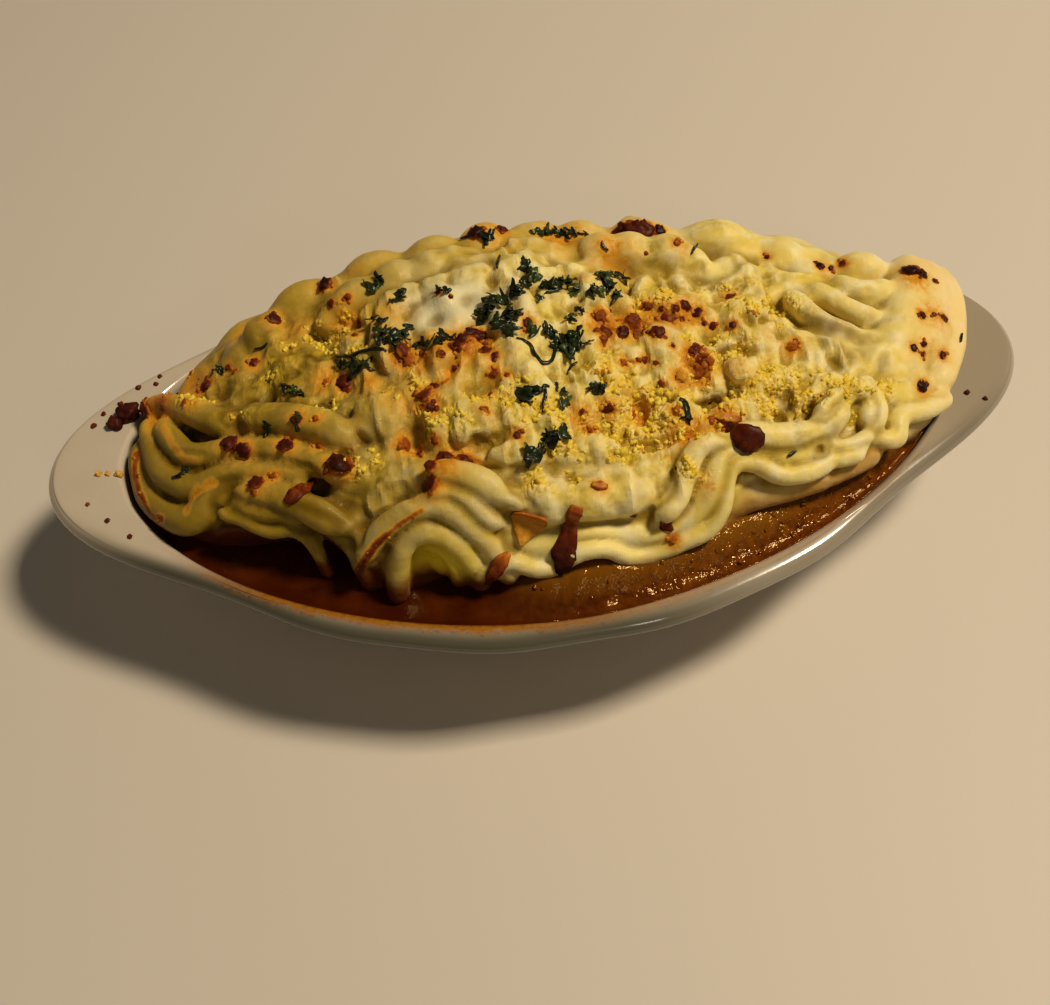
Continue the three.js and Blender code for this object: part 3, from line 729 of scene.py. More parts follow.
def buildCore():
    sides = mound["sectors"]
    angles = (np.arange(sides) + 0.5) / sides * fullTurn
    outer = ringAt(angles, moundRadius(angles), mound["base"])
    pull = sum(depth * np.exp(-((degreesFrom(angles, heading) / spread) ** 2))
               for heading, spread, depth in mound["dents"])
    rings = []
    for i in range(mound["rings"]):
        step = 1 - (i / mound["rings"]) ** mound["ringCrowding"]
        ring = outer * (mound["spineShare"] + (1 - mound["spineShare"]) * step, step, 1)
        x, y = ring[:, 0].copy(), ring[:, 1].copy()
        ring[:, :2] *= (1 - pull * (1 - moundLevel(x, y)) ** 2)[:, None]
        if i:
            ring[:, 2] = moundHeight(x, y)
        rings.append(ring)
    rings.insert(0, rings[0] - (0, 0, mound["skirt"]))
    points, faces = closedSkin((0, 0, mound["base"] - mound["skirt"]), rings, (0, 0, 0))
    # the last ring is sewn shut along the spine
    last = len(points) - 1
    faces = [face for face in faces if last not in face]
    low, high = last - sides, last - 1
    for side in range(sides // 2 - 1):
        faces.append((low + side, low + side + 1, high - side - 1, high - side))
    return makePiece("core", points[:-1], faces)


def sunkPoint(point, depth):
    # towards a spine inside the mound
    spine = Vector((min(max(point[0], -70), 80), 0, 36))
    point = Vector(point)
    return point + (spine - point).normalized() * depth


def smoothPath(points, perSpan=14):
    # centripetal Catmull-Rom through the points
    points = [points[0] * 2 - points[1], *points, points[-1] * 2 - points[-2]]
    line = []
    for p0, p1, p2, p3 in zip(points, points[1:], points[2:], points[3:]):
        t0, t1, t2 = (math.sqrt((b - a).length) for a, b in ((p0, p1), (p1, p2), (p2, p3)))
        m1 = ((p1 - p0) / t0 - (p2 - p0) / (t0 + t1) + (p2 - p1) / t1) * t1
        m2 = ((p2 - p1) / t1 - (p3 - p1) / (t1 + t2) + (p3 - p2) / t2) * t1
        for step in range(perSpan):
            t = step / perSpan
            line.append((2 * t ** 3 - 3 * t ** 2 + 1) * p1 + (t ** 3 - 2 * t ** 2 + t) * m1
                        + (3 * t ** 2 - 2 * t ** 3) * p2 + (t ** 3 - t ** 2) * m2)
    line.append(points[-2])
    return line


rope = {"spacing": 1.1, "sink": 0.8, "taper": 1.1, "tip": 0.1, "uneven": 0.09}


def ropeLine(radius, ridge):
    path = smoothPath([sunkPoint(p, radius * rope["sink"]) for p in ridge])
    lengths = np.cumsum([0] + [(b - a).length for a, b in zip(path, path[1:])])
    total = lengths[-1]
    at = np.linspace(0, total, max(8, int(total / rope["spacing"])))
    points = np.stack([np.interp(at, lengths, column) for column in np.array(path).T], 1)
    near = np.minimum(at, total - at)
    ends = np.sqrt(np.clip(near / (radius * rope["taper"]), 0, 1)) * (1 - rope["tip"]) + rope["tip"]
    uneven = np.array([noise.noise(Vector(p) * 0.11 + Vector((3, 1, radius))) for p in points])
    return points, radius * ends * (1 + rope["uneven"] * uneven)


def backRowRidge(reach, height, swing, waves, start, end):
    ridge = []
    for i in range(waves * 2 + 1):
        angle = math.radians(start + (end - start) * i / (waves * 2))
        away = float(moundRadius(angle)) * reach
        x = away * math.cos(angle)
        z = height + 0.5 * peakAt(x) + (swing if i % 2 == 0 else -swing)
        ridge.append((x, away * math.sin(angle), z))
    return ridge


def allRopeLines():
    drawn = leftSweep + frill + coil + frontRuffle + rightFan
    lines = [ropeLine(radius, ridge) for radius, *ridge in drawn]
    return lines + [ropeLine(radius, backRowRidge(*row)) for radius, *row in backRows]


def makeRopeTree():
    # sweeps a lobed nozzle outline along each line, as thick as the line's own radius says
    inputs = [("Geometry", "Geometry", None), ("Lobes", "Int", 8), ("Groove", "Float", 0.98),
              ("Crest", "Float", 1.02)]
    tree, start, end = newGroup("pipedRope", "GeometryNodeTree", inputs, [("Geometry", "Geometry")])
    line = addNode(tree, "GeometryNodeMeshToCurve", {"Mesh": start["Geometry"]})
    thickness = addNode(tree, "GeometryNodeInputNamedAttribute", {"Name": "thickness"}, data_type="FLOAT")
    nozzle = addNode(tree, "GeometryNodeCurveStar", {
        "Points": start["Lobes"], "Inner Radius": start["Groove"], "Outer Radius": start["Crest"]})
    swept = addNode(tree, "GeometryNodeCurveToMesh", {
        "Curve": line.outputs[0], "Profile Curve": nozzle.outputs[0],
        "Scale": thickness.outputs[0], "Fill Caps": True})
    real = addNode(tree, "GeometryNodeRealizeInstances", {"Geometry": swept.outputs[0]})
    painted = addNode(tree, "GeometryNodeSetMaterial", {"Geometry": real.outputs[0]})
    tree.links.new(painted.outputs[0], end["Geometry"])
    return tree


def buildRopes(lines):
    points = []
    edges = []
    sizes = []
    for line, radii in lines:
        first = len(points)
        points.extend(line.tolist())
        sizes.extend((radii * mm).tolist())
        edges.extend((i, i + 1) for i in range(first, len(points) - 1))
    mesh = bpy.data.meshes.new("ropeLines")
    mesh.from_pydata(metres(points).tolist(), edges, [])
    mesh.attributes.new("thickness", "FLOAT", "POINT").data.foreach_set("value", sizes)
    carrier = newObject("ropeLines", mesh)
    carrier.modifiers.new("ropes", "NODES").node_group = makeRopeTree()
    return asPlainMesh(carrier, "ropes")


def cragPiece(x, y, lift, radius, draw):
    # a lump of topping, raised by a share of its radius
    z = float(moundHeight(np.float64(x), np.float64(y))) + radius * lift
    turn = Matrix.Rotation(draw() * fullTurn, 3, "X")
    stretch = Vector((1 + 0.6 * draw(), 0.8 + 0.3 * draw(), 0.5 + 0.3 * draw()))
    spin = Matrix.Rotation(draw() * fullTurn, 3, "Z")
    directions, faces = ballShape(3)
    points = []
    for direction in directions:
        wobble = 1 + 0.16 * noise.noise(direction * 1.7 + Vector((x, y, z)))
        p = spin @ ((turn @ direction * radius * wobble) * stretch)
        points.append((p.x + x, p.y + y, p.z + z))
    return makePiece("crag", points, faces)


def scatteredSpot(draw, settings):
    # x, y and radius of something in an oval, from three draws
    angle = draw() * fullTurn
    away = math.sqrt(draw())
    radius = settings["smallest"] + (settings["largest"] - settings["smallest"]) * draw() ** 2
    x = settings["halfLength"] * away * math.cos(angle) + settings["shift"]
    return x, settings["halfWidth"] * away * math.sin(angle), radius


def patchDistance(x, y):
    # 1 at the edge of the smooth, melted patch
    across = (y - smoothPatch["y"]) / smoothPatch["halfWidth"]
    return np.hypot((x - smoothPatch["x"]) / smoothPatch["halfLength"], across)


def buildCrags():
    draw = drawFrom(crags["seed"])
    made = []
    while len(made) < crags["count"]:
        x, y, radius = scatteredSpot(draw, crags)
        if patchDistance(x, y) >= 1:
            made.append(cragPiece(x, y, -crags["sink"], radius, draw))
    draw = drawFrom(knobs["seed"])
    return made + [cragPiece(x, y, knobs["lift"], radius, draw) for x, y, radius in knobs["places"]]


def neighbourAverage(piece):
    # a function that replaces each value by the mean of its neighbours
    count = len(piece.data.vertices)
    ends = np.zeros(len(piece.data.edges) * 2, np.int64)
    piece.data.edges.foreach_get("vertices", ends)
    a, b = ends[0::2], ends[1::2]
    degree = np.maximum(np.bincount(a, minlength=count) + np.bincount(b, minlength=count), 1)

    def average(values):
        columns = values.reshape(count, -1).T
        total = [np.bincount(a, c[b], count) + np.bincount(b, c[a], count) for c in columns]
        return (np.array(total) / degree).T.reshape(values.shape)
    return average


def blur(values, average, rounds):
    for _ in range(rounds):
        values = average(values)
    return values


def relax(points, average, rounds, share=1.0):
    for _ in range(rounds):
        points = points + 0.5 * share * (average(points) - points)
    return points


def trimToBowl(points):
    # below the rim the mash stays inside the bowl's mouth
    angle, away = polar(points)
    share = np.minimum(1, (bowlRadius(angle) - 1.3) / np.maximum(away, 1))
    low = smoothStep(-points[:, 2], -46.6, -45.4)
    points[:, :2] *= (1 + (share - 1) * low)[:, None]
    points[:, 2] = np.maximum(points[:, 2], mound["base"])
    return points


# yellow cheese crumbs: x, y, half length, half width, strength
crumbFields = [
    (18, -30, 24, 12, 1.0), (35, -30, 14, 9, 1.0), (55, -22, 18, 10, 0.9), (76, -27, 14, 9, 0.8),
    (60, 9, 16, 9, 0.8), (38, 10, 14, 7, 0.6), (20, -14, 12, 7, 0.8), (48, -8, 14, 8, 0.7),
    (-60, 20, 14, 8, 0.65), (-58, -10, 12, 9, 0.4), (-28, -24, 12, 8, 0.6), (-52, -30, 9, 6, 0.5),
    (-98, 8, 14, 9, 0.42), (-3, -44, 12, 6, 0.6), (-52, 6, 10, 7, 0.5), (-75, 12, 12, 8, 0.4),
    (90, -26, 10, 7, 0.5), (34, -46, 6, 4, 0.6), (70, 4, 14, 8, 0.5), (-10, -22, 10, 8, 0.5),
    (8, 8, 8, 5, 0.35), (-35, -12, 14, 8, 0.45), (-82, -6, 12, 7, 0.35),
]


def crumbShare(points, normals):
    x, y, z = points.T
    mask = np.zeros(len(points))
    for px, py, halfLength, halfWidth, strength in crumbFields:
        away = ((x - px) / halfLength) ** 2 + ((y - py) / halfWidth) ** 2
        mask = np.maximum(mask, strength * np.exp(-away))
    clumped = smoothStep(fractalAt(points, 5.5, 12), -0.3, 0.25)
    upward = smoothStep(normals[:, 2], 0.15, 0.6)
    shown = upward * smoothStep(z, 50, 56) * smoothStep(patchDistance(x, y), 0.8, 1.1)
    return smoothStep(mask * (0.3 + 0.7 * clumped), 0.1, 0.5) * shown


dimples = {
    "count": 46, "seed": 61, "halfLength": 104, "halfWidth": 48, "shift": 6, "smallest": 1.3, "largest": 2.8,
    "depth": 0.9,
}
# gaps between strokes: x, y, half length, half width, heading in degrees
gaps = [
    (16, -19, 2, 1.5, 90), (25, -26, 3, 2, 80), (33, -25, 1.6, 1.2, 0), (28, -36, 9, 1.7, 5),
    (45, -24, 5, 2, 10), (67, 0, 4, 1.6, 35), (63, -30, 3, 2, 70), (72, -30, 3, 2, 0), (83, -4, 8, 2, -28),
    (93, -9, 6, 2, -25), (96, -17, 4, 2, 60), (75, -45, 4, 1.4, 60), (-15, -34, 4, 2, 20),
    (-20, -34, 3, 1.6, 0), (52, -8, 4, 1.5, 0), (-99, -12, 7, 1.0, 150),
]
gapDepth = 1.4


def turnedOffsets(points, x, y, turn):
    # offsets from a spot, along a heading and across it
    dx, dy = points[:, 0] - x, points[:, 1] - y
    return dx * math.cos(turn) + dy * math.sin(turn), dy * math.cos(turn) - dx * math.sin(turn)


def dimpleDepth(points):
    draw = drawFrom(dimples["seed"])
    depth = np.zeros(len(points))
    for _ in range(dimples["count"]):
        x, y, radius = scatteredSpot(draw, dimples)
        stretch = 1 + 0.9 * draw()
        along, across = turnedOffsets(points, x, y, draw() * math.pi)
        off = (along / stretch) ** 2 + across ** 2
        depth = np.maximum(depth, dimples["depth"] * radius * np.exp(-off / radius ** 2))
    for x, y, half, thin, heading in gaps:
        along, across = turnedOffsets(points, x, y, math.radians(heading))
        off = (along / half) ** 2 + (across / thin) ** 2
        depth = np.maximum(depth, gapDepth * thin * np.exp(-off ** 1.5))
    return depth


def ropeShares(points, lines):
    # the distance to the nearest rope's middle line, in that rope's radii, and to the second nearest
    near = np.full(len(points), 9.0)
    second = near.copy()
    for line, radii in lines:
        radius = radii.max()
        low = line.min(0) - radius * 2.5
        high = line.max(0) + radius * 2.5
        inside = np.flatnonzero(((points > low) & (points < high)).all(1))
        for part in np.array_split(inside, max(1, len(inside) // 20000)):
            away = np.linalg.norm(points[part][:, None] - line[None], axis=2).min(1) / radius
            second[part] = np.minimum(second[part], np.maximum(near[part], away))
            near[part] = np.minimum(near[part], away)
    return near, second


def clumpsAt(points, size):
    # rounded clumps: 1 at the middle of each and 0 at the seams
    seams = [noise.voronoi(Vector(p) / size)[0] for p in points]
    return np.array([max(0.0, 1 - s[0] / max(s[1], 1e-6)) ** 0.6 for s in seams])


# how high each kind of relief stands and how wide its lumps are
relief = {
    "fold": 0.9, "foldSize": 13.0, "swell": 0.4, "swellSize": 6.5, "streak": 0.8, "streakSize": 5.5,
    "sink": 0.6, "crumb": 1.1, "crumbSize": 1.9, "wrinkleSize": 2.4, "groove": 0.95,
    "ropeSwell": 0.35, "ropeSwellSize": 14.0,
}


def buildMash(lines):
    rough = joinPieces("mashParts", [buildCore(), buildRopes(lines), *buildCrags()])
    remesh = rough.modifiers.new("remesh", "REMESH")
    remesh.mode = "VOXEL"
    remesh.voxel_size = mound["voxel"] * mm
    piece = asPlainMesh(rough, "piped_mash")
    average = neighbourAverage(piece)
    points = relax(getPoints(piece), average, 3)

    near, second = ropeShares(points, lines)
    onRope = 1 - smoothStep(near, 1.2, 1.7)
    # the right end is spread smooth, and the ropes are rounder than the voxels leave them
    x, y, z = points.T
    spread = smoothStep(x, 98, 108) * smoothStep(y, -24, -12)
    folds = smoothStep(x, 72, 84) * smoothStep(y, -36, -24)
    ease = np.maximum(np.maximum(0.2 * onRope, spread), 0.9 * folds)
    points = relax(points, average, 28, ease[:, None])
    setPoints(piece, points)
    between = np.exp(-(((second - near) / 0.2) ** 2)) * (1 - smoothStep(near, 1.25, 1.6))
    beside = np.exp(-(((near - 1.3) / 0.16) ** 2))
    groove = np.maximum(between, 0.7 * beside) * (1 - 0.7 * folds) * (1 - spread)
    groove = blur(groove, average, 3)
    normals = blur(getNormals(piece), average, 3)
    normals = normals / np.maximum(np.linalg.norm(normals, axis=1), 1e-6)[:, None]

    # where the topping is plain, and how far each kind of relief pushes it out
    x, y, z = points.T
    top = smoothStep(z, 50, 60)
    inPatch = 1 - smoothStep(patchDistance(x, y), 0.55, 1.3)
    slope = smoothStep(x, -22, -12) * (1 - smoothStep(x, 28, 38))
    slope = slope * smoothStep(-y, 38, 43) * smoothStep(z, 58, 62)
    plain = np.maximum(1 - onRope, 0.5 * slope) * (1 - inPatch) * (1 - spread)
    crumbs = crumbShare(points, normals)
    warped = points + 3 * fractalAt(points, 9.0, 21, 1)[:, None]
    fold = 1 - 2 * np.abs(fractalAt(warped, relief["foldSize"], 1, 2))
    streak = 1 - 2 * np.abs(fractalAt(points * (1, 0.3, 0.3), relief["streakSize"], 17, 2))
    swell = fractalAt(points, relief["swellSize"], 2, 2)
    ropeSwell = fractalAt(points, relief["ropeSwellSize"], 4, 2)
    grain = clumpsAt(points, relief["crumbSize"])
    wrinkle = fractalAt(points, relief["wrinkleSize"], 5)
    dimple = dimpleDepth(points) * (1 - 0.7 * onRope) * (1 - inPatch)
    waves = relief["fold"] * fold - relief["sink"] + relief["swell"] * swell + relief["streak"] * streak
    push = top * (0.1 + 0.9 * plain) * waves + crumbs * (relief["crumb"] * grain - 0.3 + 0.25 * wrinkle)
    push = push + (0.06 + 0.08 * plain) * wrinkle + 0.12 * top * plain * (1 - crumbs) * (grain - 0.4)
    push = push - relief["groove"] * groove - dimple + relief["ropeSwell"] * ropeSwell * onRope
    foot = smoothStep(moundLevel(x, y), 0.0, 0.05)
    points = trimToBowl(points + normals * push[:, None] * smoothStep(z, 42, 47)[:, None])
    points = relax(points, average, 3, (groove * (1 - crumbs))[:, None])
    setPoints(piece, points)

    # how far each place stands out from its surroundings, smoothed widely and closely
    normals = getNormals(piece)
    wide, close = (((points - blur(points, average, rounds)) * normals).sum(1) for rounds in (40, 7))
    # painted shade in hollows, grooves and dimples and in fine creases, and painted highlight on fine ridges
    hollow = np.maximum(smoothStep(-wide, 0.0, 1.5), 0.75 * groove)
    hollow = np.maximum(hollow, smoothStep(dimple, 0.3, 1.6))
    # the streak mask marks the sunk parts between the streak ridges for painted shade
    setMasks(piece, hollow=hollow * foot, crease=smoothStep(-close, 0.01, 0.32) * foot,
             ridge=smoothStep(close, 0.02, 0.3), crest=smoothStep(wide, 0.3, 1.7), onRope=onRope,
             melted=inPatch * top, streak=smoothStep(-streak, -0.75, 0.1) * top * plain,
             crumbs=crumbs, crumbled=smoothStep(crumbs, 0.35, 0.8))
    return piece


mash = buildMash(allRopeLines())
mashTree = treeOf(mash)
print("mash ready:", len(mash.data.polygons), "faces")

# a smooth rise of the topping, without its strokes
reference = {"leftLength": 115, "rightLength": 128, "halfWidth": 61, "foot": 42, "rise": 28}


def landing(x, y):
    # along the camera's line of sight, so that it lies where it is seen and on the surface
    length = reference["leftLength"] if x < 0 else reference["rightLength"]
    along, across = abs(x) / length, abs(y) / reference["halfWidth"]
    share = min(1, along ** mound["power"] + across ** mound["power"])
    rise = (reference["rise"] + float(peakAt(x))) * (1 - share) ** mound["sidePower"]
    aim = Vector((x, y, reference["foot"] + rise))
    eye = Vector(shot["position"])
    spot, normal = mashTree.ray_cast(eye, (aim - eye).normalized())[:2]
    if spot is None:
        spot, normal = mashTree.find_nearest(aim)[:2]
    return spot, normal


# x, y, radius, how burnt each is and how many crumbs lie round it
brownedLumps = [
    (-117, 22, 3.2, 0.72, 6), (-120, 15, 2.0, 0.6, 3), (-94, 11, 2.1, 0.72, 3), (-101, 9, 1.0, 0.55, 3),
    (-99, 20, 1.1, 0.4, 2), (-87, 15, 1.0, 0.62, 2), (-85, 12, 0.9, 0.5, 1), (-79, 13, 1.6, 0.66, 2),
    (-73, 30, 2.1, 0.78, 1), (-57, 39, 2.3, 0.8, 1), (-50, 26, 1.1, 0.6, 3), (-55, 26, 1.3, 0.62, 2),
    (-47, 13, 1.6, 0.6, 4), (-49, 9, 0.9, 0.6, 1), (-53, -7, 2.5, 0.74, 2), (-58, -4, 1.2, 0.4, 2),
    (-67, -13, 1.6, 0.6, 2), (-62, -15, 0.9, 0.45, 1), (-87, -13, 2.5, 0.72, 2), (-83, -17, 2.2, 0.78, 1),
    (-71, -20, 2.3, 0.76, 2), (-62, -24, 1.0, 0.55, 3), (-57, -31, 3.3, 0.8, 1), (-80, -28, 2.4, 0.72, 2),
    (-75, -28, 1.2, 0.5, 3), (-36, -3, 2.3, 0.6, 5), (-35, -7, 1.6, 0.5, 3), (-31, -6, 1.1, 0.5, 2),
    (-26, -8, 1.2, 0.62, 2), (-20, -5, 2.4, 0.74, 4), (-17, -3, 2.0, 0.76, 2), (-15, -5, 1.9, 0.72, 3),
    (-22, -7, 1.5, 0.6, 5), (-13, -7, 1.4, 0.4, 4), (-14, -10, 1.6, 0.7, 3), (-12, -12, 1.2, 0.7, 2),
    (-23, -14, 1.0, 0.6, 2), (-29, -18, 1.4, 0.7, 1), (-32, -20, 2.4, 0.6, 6), (-31, -24, 1.4, 0.72, 3),
    (-17, -28, 1.3, 0.55, 2), (-13, -18, 1.5, 0.55, 3), (-10, -19, 0.9, 0.6, 1), (-15, -24, 0.8, 0.6, 1),
    (-39, -32, 2.0, 0.5, 4), (-35, -35, 1.6, 0.55, 3), (-34, -43, 2.9, 0.76, 2), (-33, -39, 2.0, 0.64, 3),
    (-29, -38, 2.2, 0.7, 2), (-24, -40, 2.3, 0.7, 2), (-31, -33, 1.2, 0.55, 2), (-10, -36, 1.2, 0.7, 1),
    (-2, -2, 1.7, 0.7, 1), (-24, 15, 1.1, 0.9, 0), (-21, 12, 0.7, 0.85, 0), (19, 1, 1.9, 0.55, 3),
    (19, -5, 2.2, 0.62, 4), (18, -8, 1.3, 0.6, 2), (24, -1, 1.2, 0.45, 2), (24, -5, 1.8, 0.78, 1),
    (28, 0, 2.1, 0.62, 2), (28, -3, 2.0, 0.55, 4), (28, -6, 1.7, 0.55, 2), (31, -5, 0.8, 0.6, 1),
    (22, 3, 0.7, 0.62, 0), (33, 5, 1.6, 0.6, 1), (37, 4, 0.9, 0.7, 0), (34, -5, 2.1, 0.7, 1),
    (35, 0, 1.3, 0.4, 2), (38, 0, 2.0, 0.6, 4), (41, 4, 1.4, 0.7, 2), (44, 5, 1.8, 0.74, 2),
    (42, 0, 0.9, 0.62, 2), (47, 2, 1.8, 0.72, 2), (48, -2, 0.9, 0.66, 1), (50, -3, 1.2, 0.74, 1),
    (58, 8, 1.4, 0.64, 1), (56, -3, 1.1, 0.74, 1), (43, -12, 2.1, 0.64, 4), (43, -15, 1.7, 0.66, 4),
    (42, -19, 2.4, 0.55, 6), (46, -16, 1.4, 0.5, 2), (37, -21, 1.8, 0.32, 3), (37, -10, 0.7, 0.7, 1),
    (22, -16, 1.1, 0.5, 1), (28, -15, 1.1, 0.64, 1), (31, -16, 0.9, 0.55, 0), (31, -23, 1.2, 0.55, 0),
    (15, -30, 1.7, 0.7, 1), (8, -31, 0.8, 0.6, 1), (21, -32, 1.5, 0.5, 4), (9, -36, 1.0, 0.45, 3),
    (33, -31, 1.1, 0.5, 2), (43, -29, 0.7, 0.75, 0), (42, -34, 1.3, 0.5, 2), (71, -12, 1.4, 0.45, 3),
    (72, -11, 1.2, 0.55, 1), (74, 25, 0.8, 0.8, 1), (89, 20, 1.4, 0.85, 2), (92, 19, 0.9, 0.8, 1),
    (97, 22, 1.2, 0.6, 2), (126, 33, 2.3, 0.92, 2), (129, 31, 1.8, 0.95, 1), (132, 27, 1.0, 0.7, 0),
    (115, 1, 1.3, 0.85, 2), (120, 3, 0.8, 0.7, 2), (124, 4, 1.1, 0.7, 1), (127, 7, 1.0, 0.8, 1),
    (107, -13, 1.3, 0.85, 1), (111, -11, 0.9, 0.75, 1), (109, -15, 0.8, 0.65, 1), (116, -14, 1.3, 0.78, 1),
    (105, -26, 1.9, 0.9, 1), (-10, 50, 2.4, 0.85, 1), (-2, 50, 2.0, 0.72, 1), (34, 44, 3.0, 0.74, 2),
    (38, 45, 3.4, 0.74, 2), (42, 45, 2.8, 0.72, 1), (46, 45, 1.8, 0.85, 1), (49, 35, 1.1, 0.55, 3),
    (38, 29, 0.7, 0.6, 0), (46.5, -36, 1.4, 0.8, 0), (45, -35, 1.4, 0.66, 2), (17, -55, 1.0, 0.8, 0),
    (25, -57, 1.3, 0.85, 0), (27, -59, 1.3, 0.45, 1), (9, -49, 1.3, 0.5, 1), (30, -46, 0.6, 0.8, 0),
]

# soft browning: x, y, radius and strength
scorchPatches = [
    (-105, 18, 9, 0.36), (-97, 14, 8, 0.3), (-112, 20, 8, 0.42), (-99, 8, 7, 0.25), (-30, -6, 8, 0.34),
    (-20, -5, 8, 0.42), (-36, -5, 5, 0.45), (-32, -22, 5, 0.42), (-30, -39, 7, 0.3), (20, -3, 7, 0.42),
    (28, -2, 7, 0.42), (37, 0, 7, 0.38), (44, 3, 7, 0.34), (43, -15, 6, 0.5), (37, -21, 5, 0.34),
    (-66, 20, 8, 0.2), (-52, 18, 8, 0.26), (-58, -4, 6, 0.3), (-47, -9, 5, 0.3), (-79, -28, 6, 0.25),
    (8, -32, 6, 0.25), (21, -33, 8, 0.3), (35, -38, 8, 0.3), (45, -34, 6, 0.32), (-26, -15, 9, 0.2),
    (-38, -18, 9, 0.2), (-14, -13, 8, 0.17), (-40, 12, 9, 0.2), (52, -18, 7, 0.16), (38, -50, 4, 0.2),
    (71, -12, 4, 0.3), (120, 3, 7, 0.24), (112, -13, 5, 0.2), (127, 30, 6, 0.3), (-4, 48, 8, 0.24),
    (40, 42, 7, 0.34), (14, 35, 10, 0.28), (28, 30, 9, 0.26), (-83, 28, 6, 0.26), (90, 20, 4, 0.2),
    (50, 35, 5, 0.2),
]

# browned edges that follow a fold: half width, strength, then points in plan
scorchLines = [
    (1.1, 0.74, (-56, -54.5), (-53, -53), (-50, -51.5), (-47, -50.5)),
    (0.7, 0.5, (-47, -50.5), (-44, -49.5), (-40, -48.5), (-37, -48)),
    (1.2, 0.36, (-101, -27), (-99, -25), (-97, -23.5), (-92, -23)),
    (1.0, 0.62, (-119.5, 6), (-120, -1), (-118.5, -8), (-115, -17), (-109.5, -24)),
    (1.0, 0.3, (-108, 5), (-105, -4), (-101, -12), (-96, -15)),
    (0.7, 0.5, (22, -16), (25, -15.5), (28, -15)),
    (0.7, 0.45, (-22, -12), (-23, -15), (-27, -18)),
]
scorchSteps = 12

# painted shade in the hollows between the strokes: x, y, radius and strength
darkHollows = [
    (81, -4, 3, 0.8), (85, -6, 3.2, 0.9), (88, -8, 3, 0.8), (87, -16, 3.5, 0.5), (64, -30, 3, 0.8),
    (42, 13, 2.2, 0.9), (50, 16, 3.4, 0.5), (56, 14, 3, 0.5), (56, -33, 2.4, 0.7), (32, -33, 2.2, 0.8),
    (21, -26, 1.8, 0.8), (76, -38, 2.4, 0.6), (28, -26, 2, 0.5), (12, -33, 2.2, 0.4), (18, 36, 4, 0.35),
    (34, 24, 4, 0.3),
]


def paintMash(piece):
    points = getPoints(piece)
    scorch = np.zeros(len(points))

    def press(x, y, radius, strength, power=2.0):
        away = distanceTo(points, landing(x, y)[0]) / radius
        np.maximum(scorch, strength * np.exp(-(away ** power)), out=scorch)

    for x, y, radius, burnt, crumbs in brownedLumps:
        if crumbs:
            press(x, y, radius * 2.2 + 2.5, 0.12 + 0.015 * crumbs)
            press(x, y, radius * 1.5 + 1.0, 0.38 + 0.03 * crumbs)
        press(x, y, radius * 1.15, 0.95 * burnt, 3.0)
    for x, y, radius, strength in scorchPatches:
        press(x, y, radius, strength * 1.2)
    for half, strength, *route in scorchLines:
        for (ax, ay), (bx, by) in zip(route, route[1:]):
            for t in np.arange(scorchSteps) / scorchSteps:
                press(ax + (bx - ax) * t, ay + (by - ay) * t, half * 1.3, strength, 3.0)

    # what the sauce has stained: high up in the recesses, low down on the ropes; at the front left its dark
    # line reaches high into the recesses as painted shade
    x, y, z = points.T
    free = 1 - readValues(piece.data.attributes["onRope"].data, "value")
    toLeft = 1 - smoothStep(x, -26, -8)
    front = smoothStep(15 * smoothStep(-x, 45, 80) - y, 25, 48)
    coilFoot = smoothStep(x, -62, -56) * (1 - smoothStep(x, -20, -14))
    wavy = 1.6 * fractalAt(points, 9.0, 6)
    under = smoothStep(x, 40, 50) * (1 - smoothStep(x, 98, 108))
    height = 46.5 + 2 * smoothStep(-x, 60, 80) + 3.5 * coilFoot + 7.5 * under
    height = height + free * (3.5 + 5 * toLeft) * (1 - under)
    dark = 45.8 + (2 + 9 * free) * toLeft * front + 1.5 * free
    # painted shade in the front-left recesses below the top, and in the listed hollows
    deep = toLeft * front * free * (1 - smoothStep(z, 56, 61))
    for px, py, radius, strength in darkHollows:
        away = distanceTo(points, landing(px, py)[0]) / radius
        deep = np.maximum(deep, strength * np.exp(-(away ** 2)))
    setMasks(piece, scorch=scorch, toasting=smoothStep(scorch, 0.24, 0.6) ** 1.3 * smoothStep(z, 47, 50),
             soaked=smoothStep(height + wavy - z, -2.5, 2.5) * (0.25 + 0.75 * front),
             sauceLine=1 - smoothStep(z + wavy - dark, -2.2, 1.8),
             # the coil's middle, which the material paints brighter: partly the cheese's own yellow, partly
             # painted light
             coil=np.exp(-((distanceTo(points, (-35, -57, 51)) / 9.5) ** 3)),
             deep=deep, top=smoothStep(z, 60, 66))


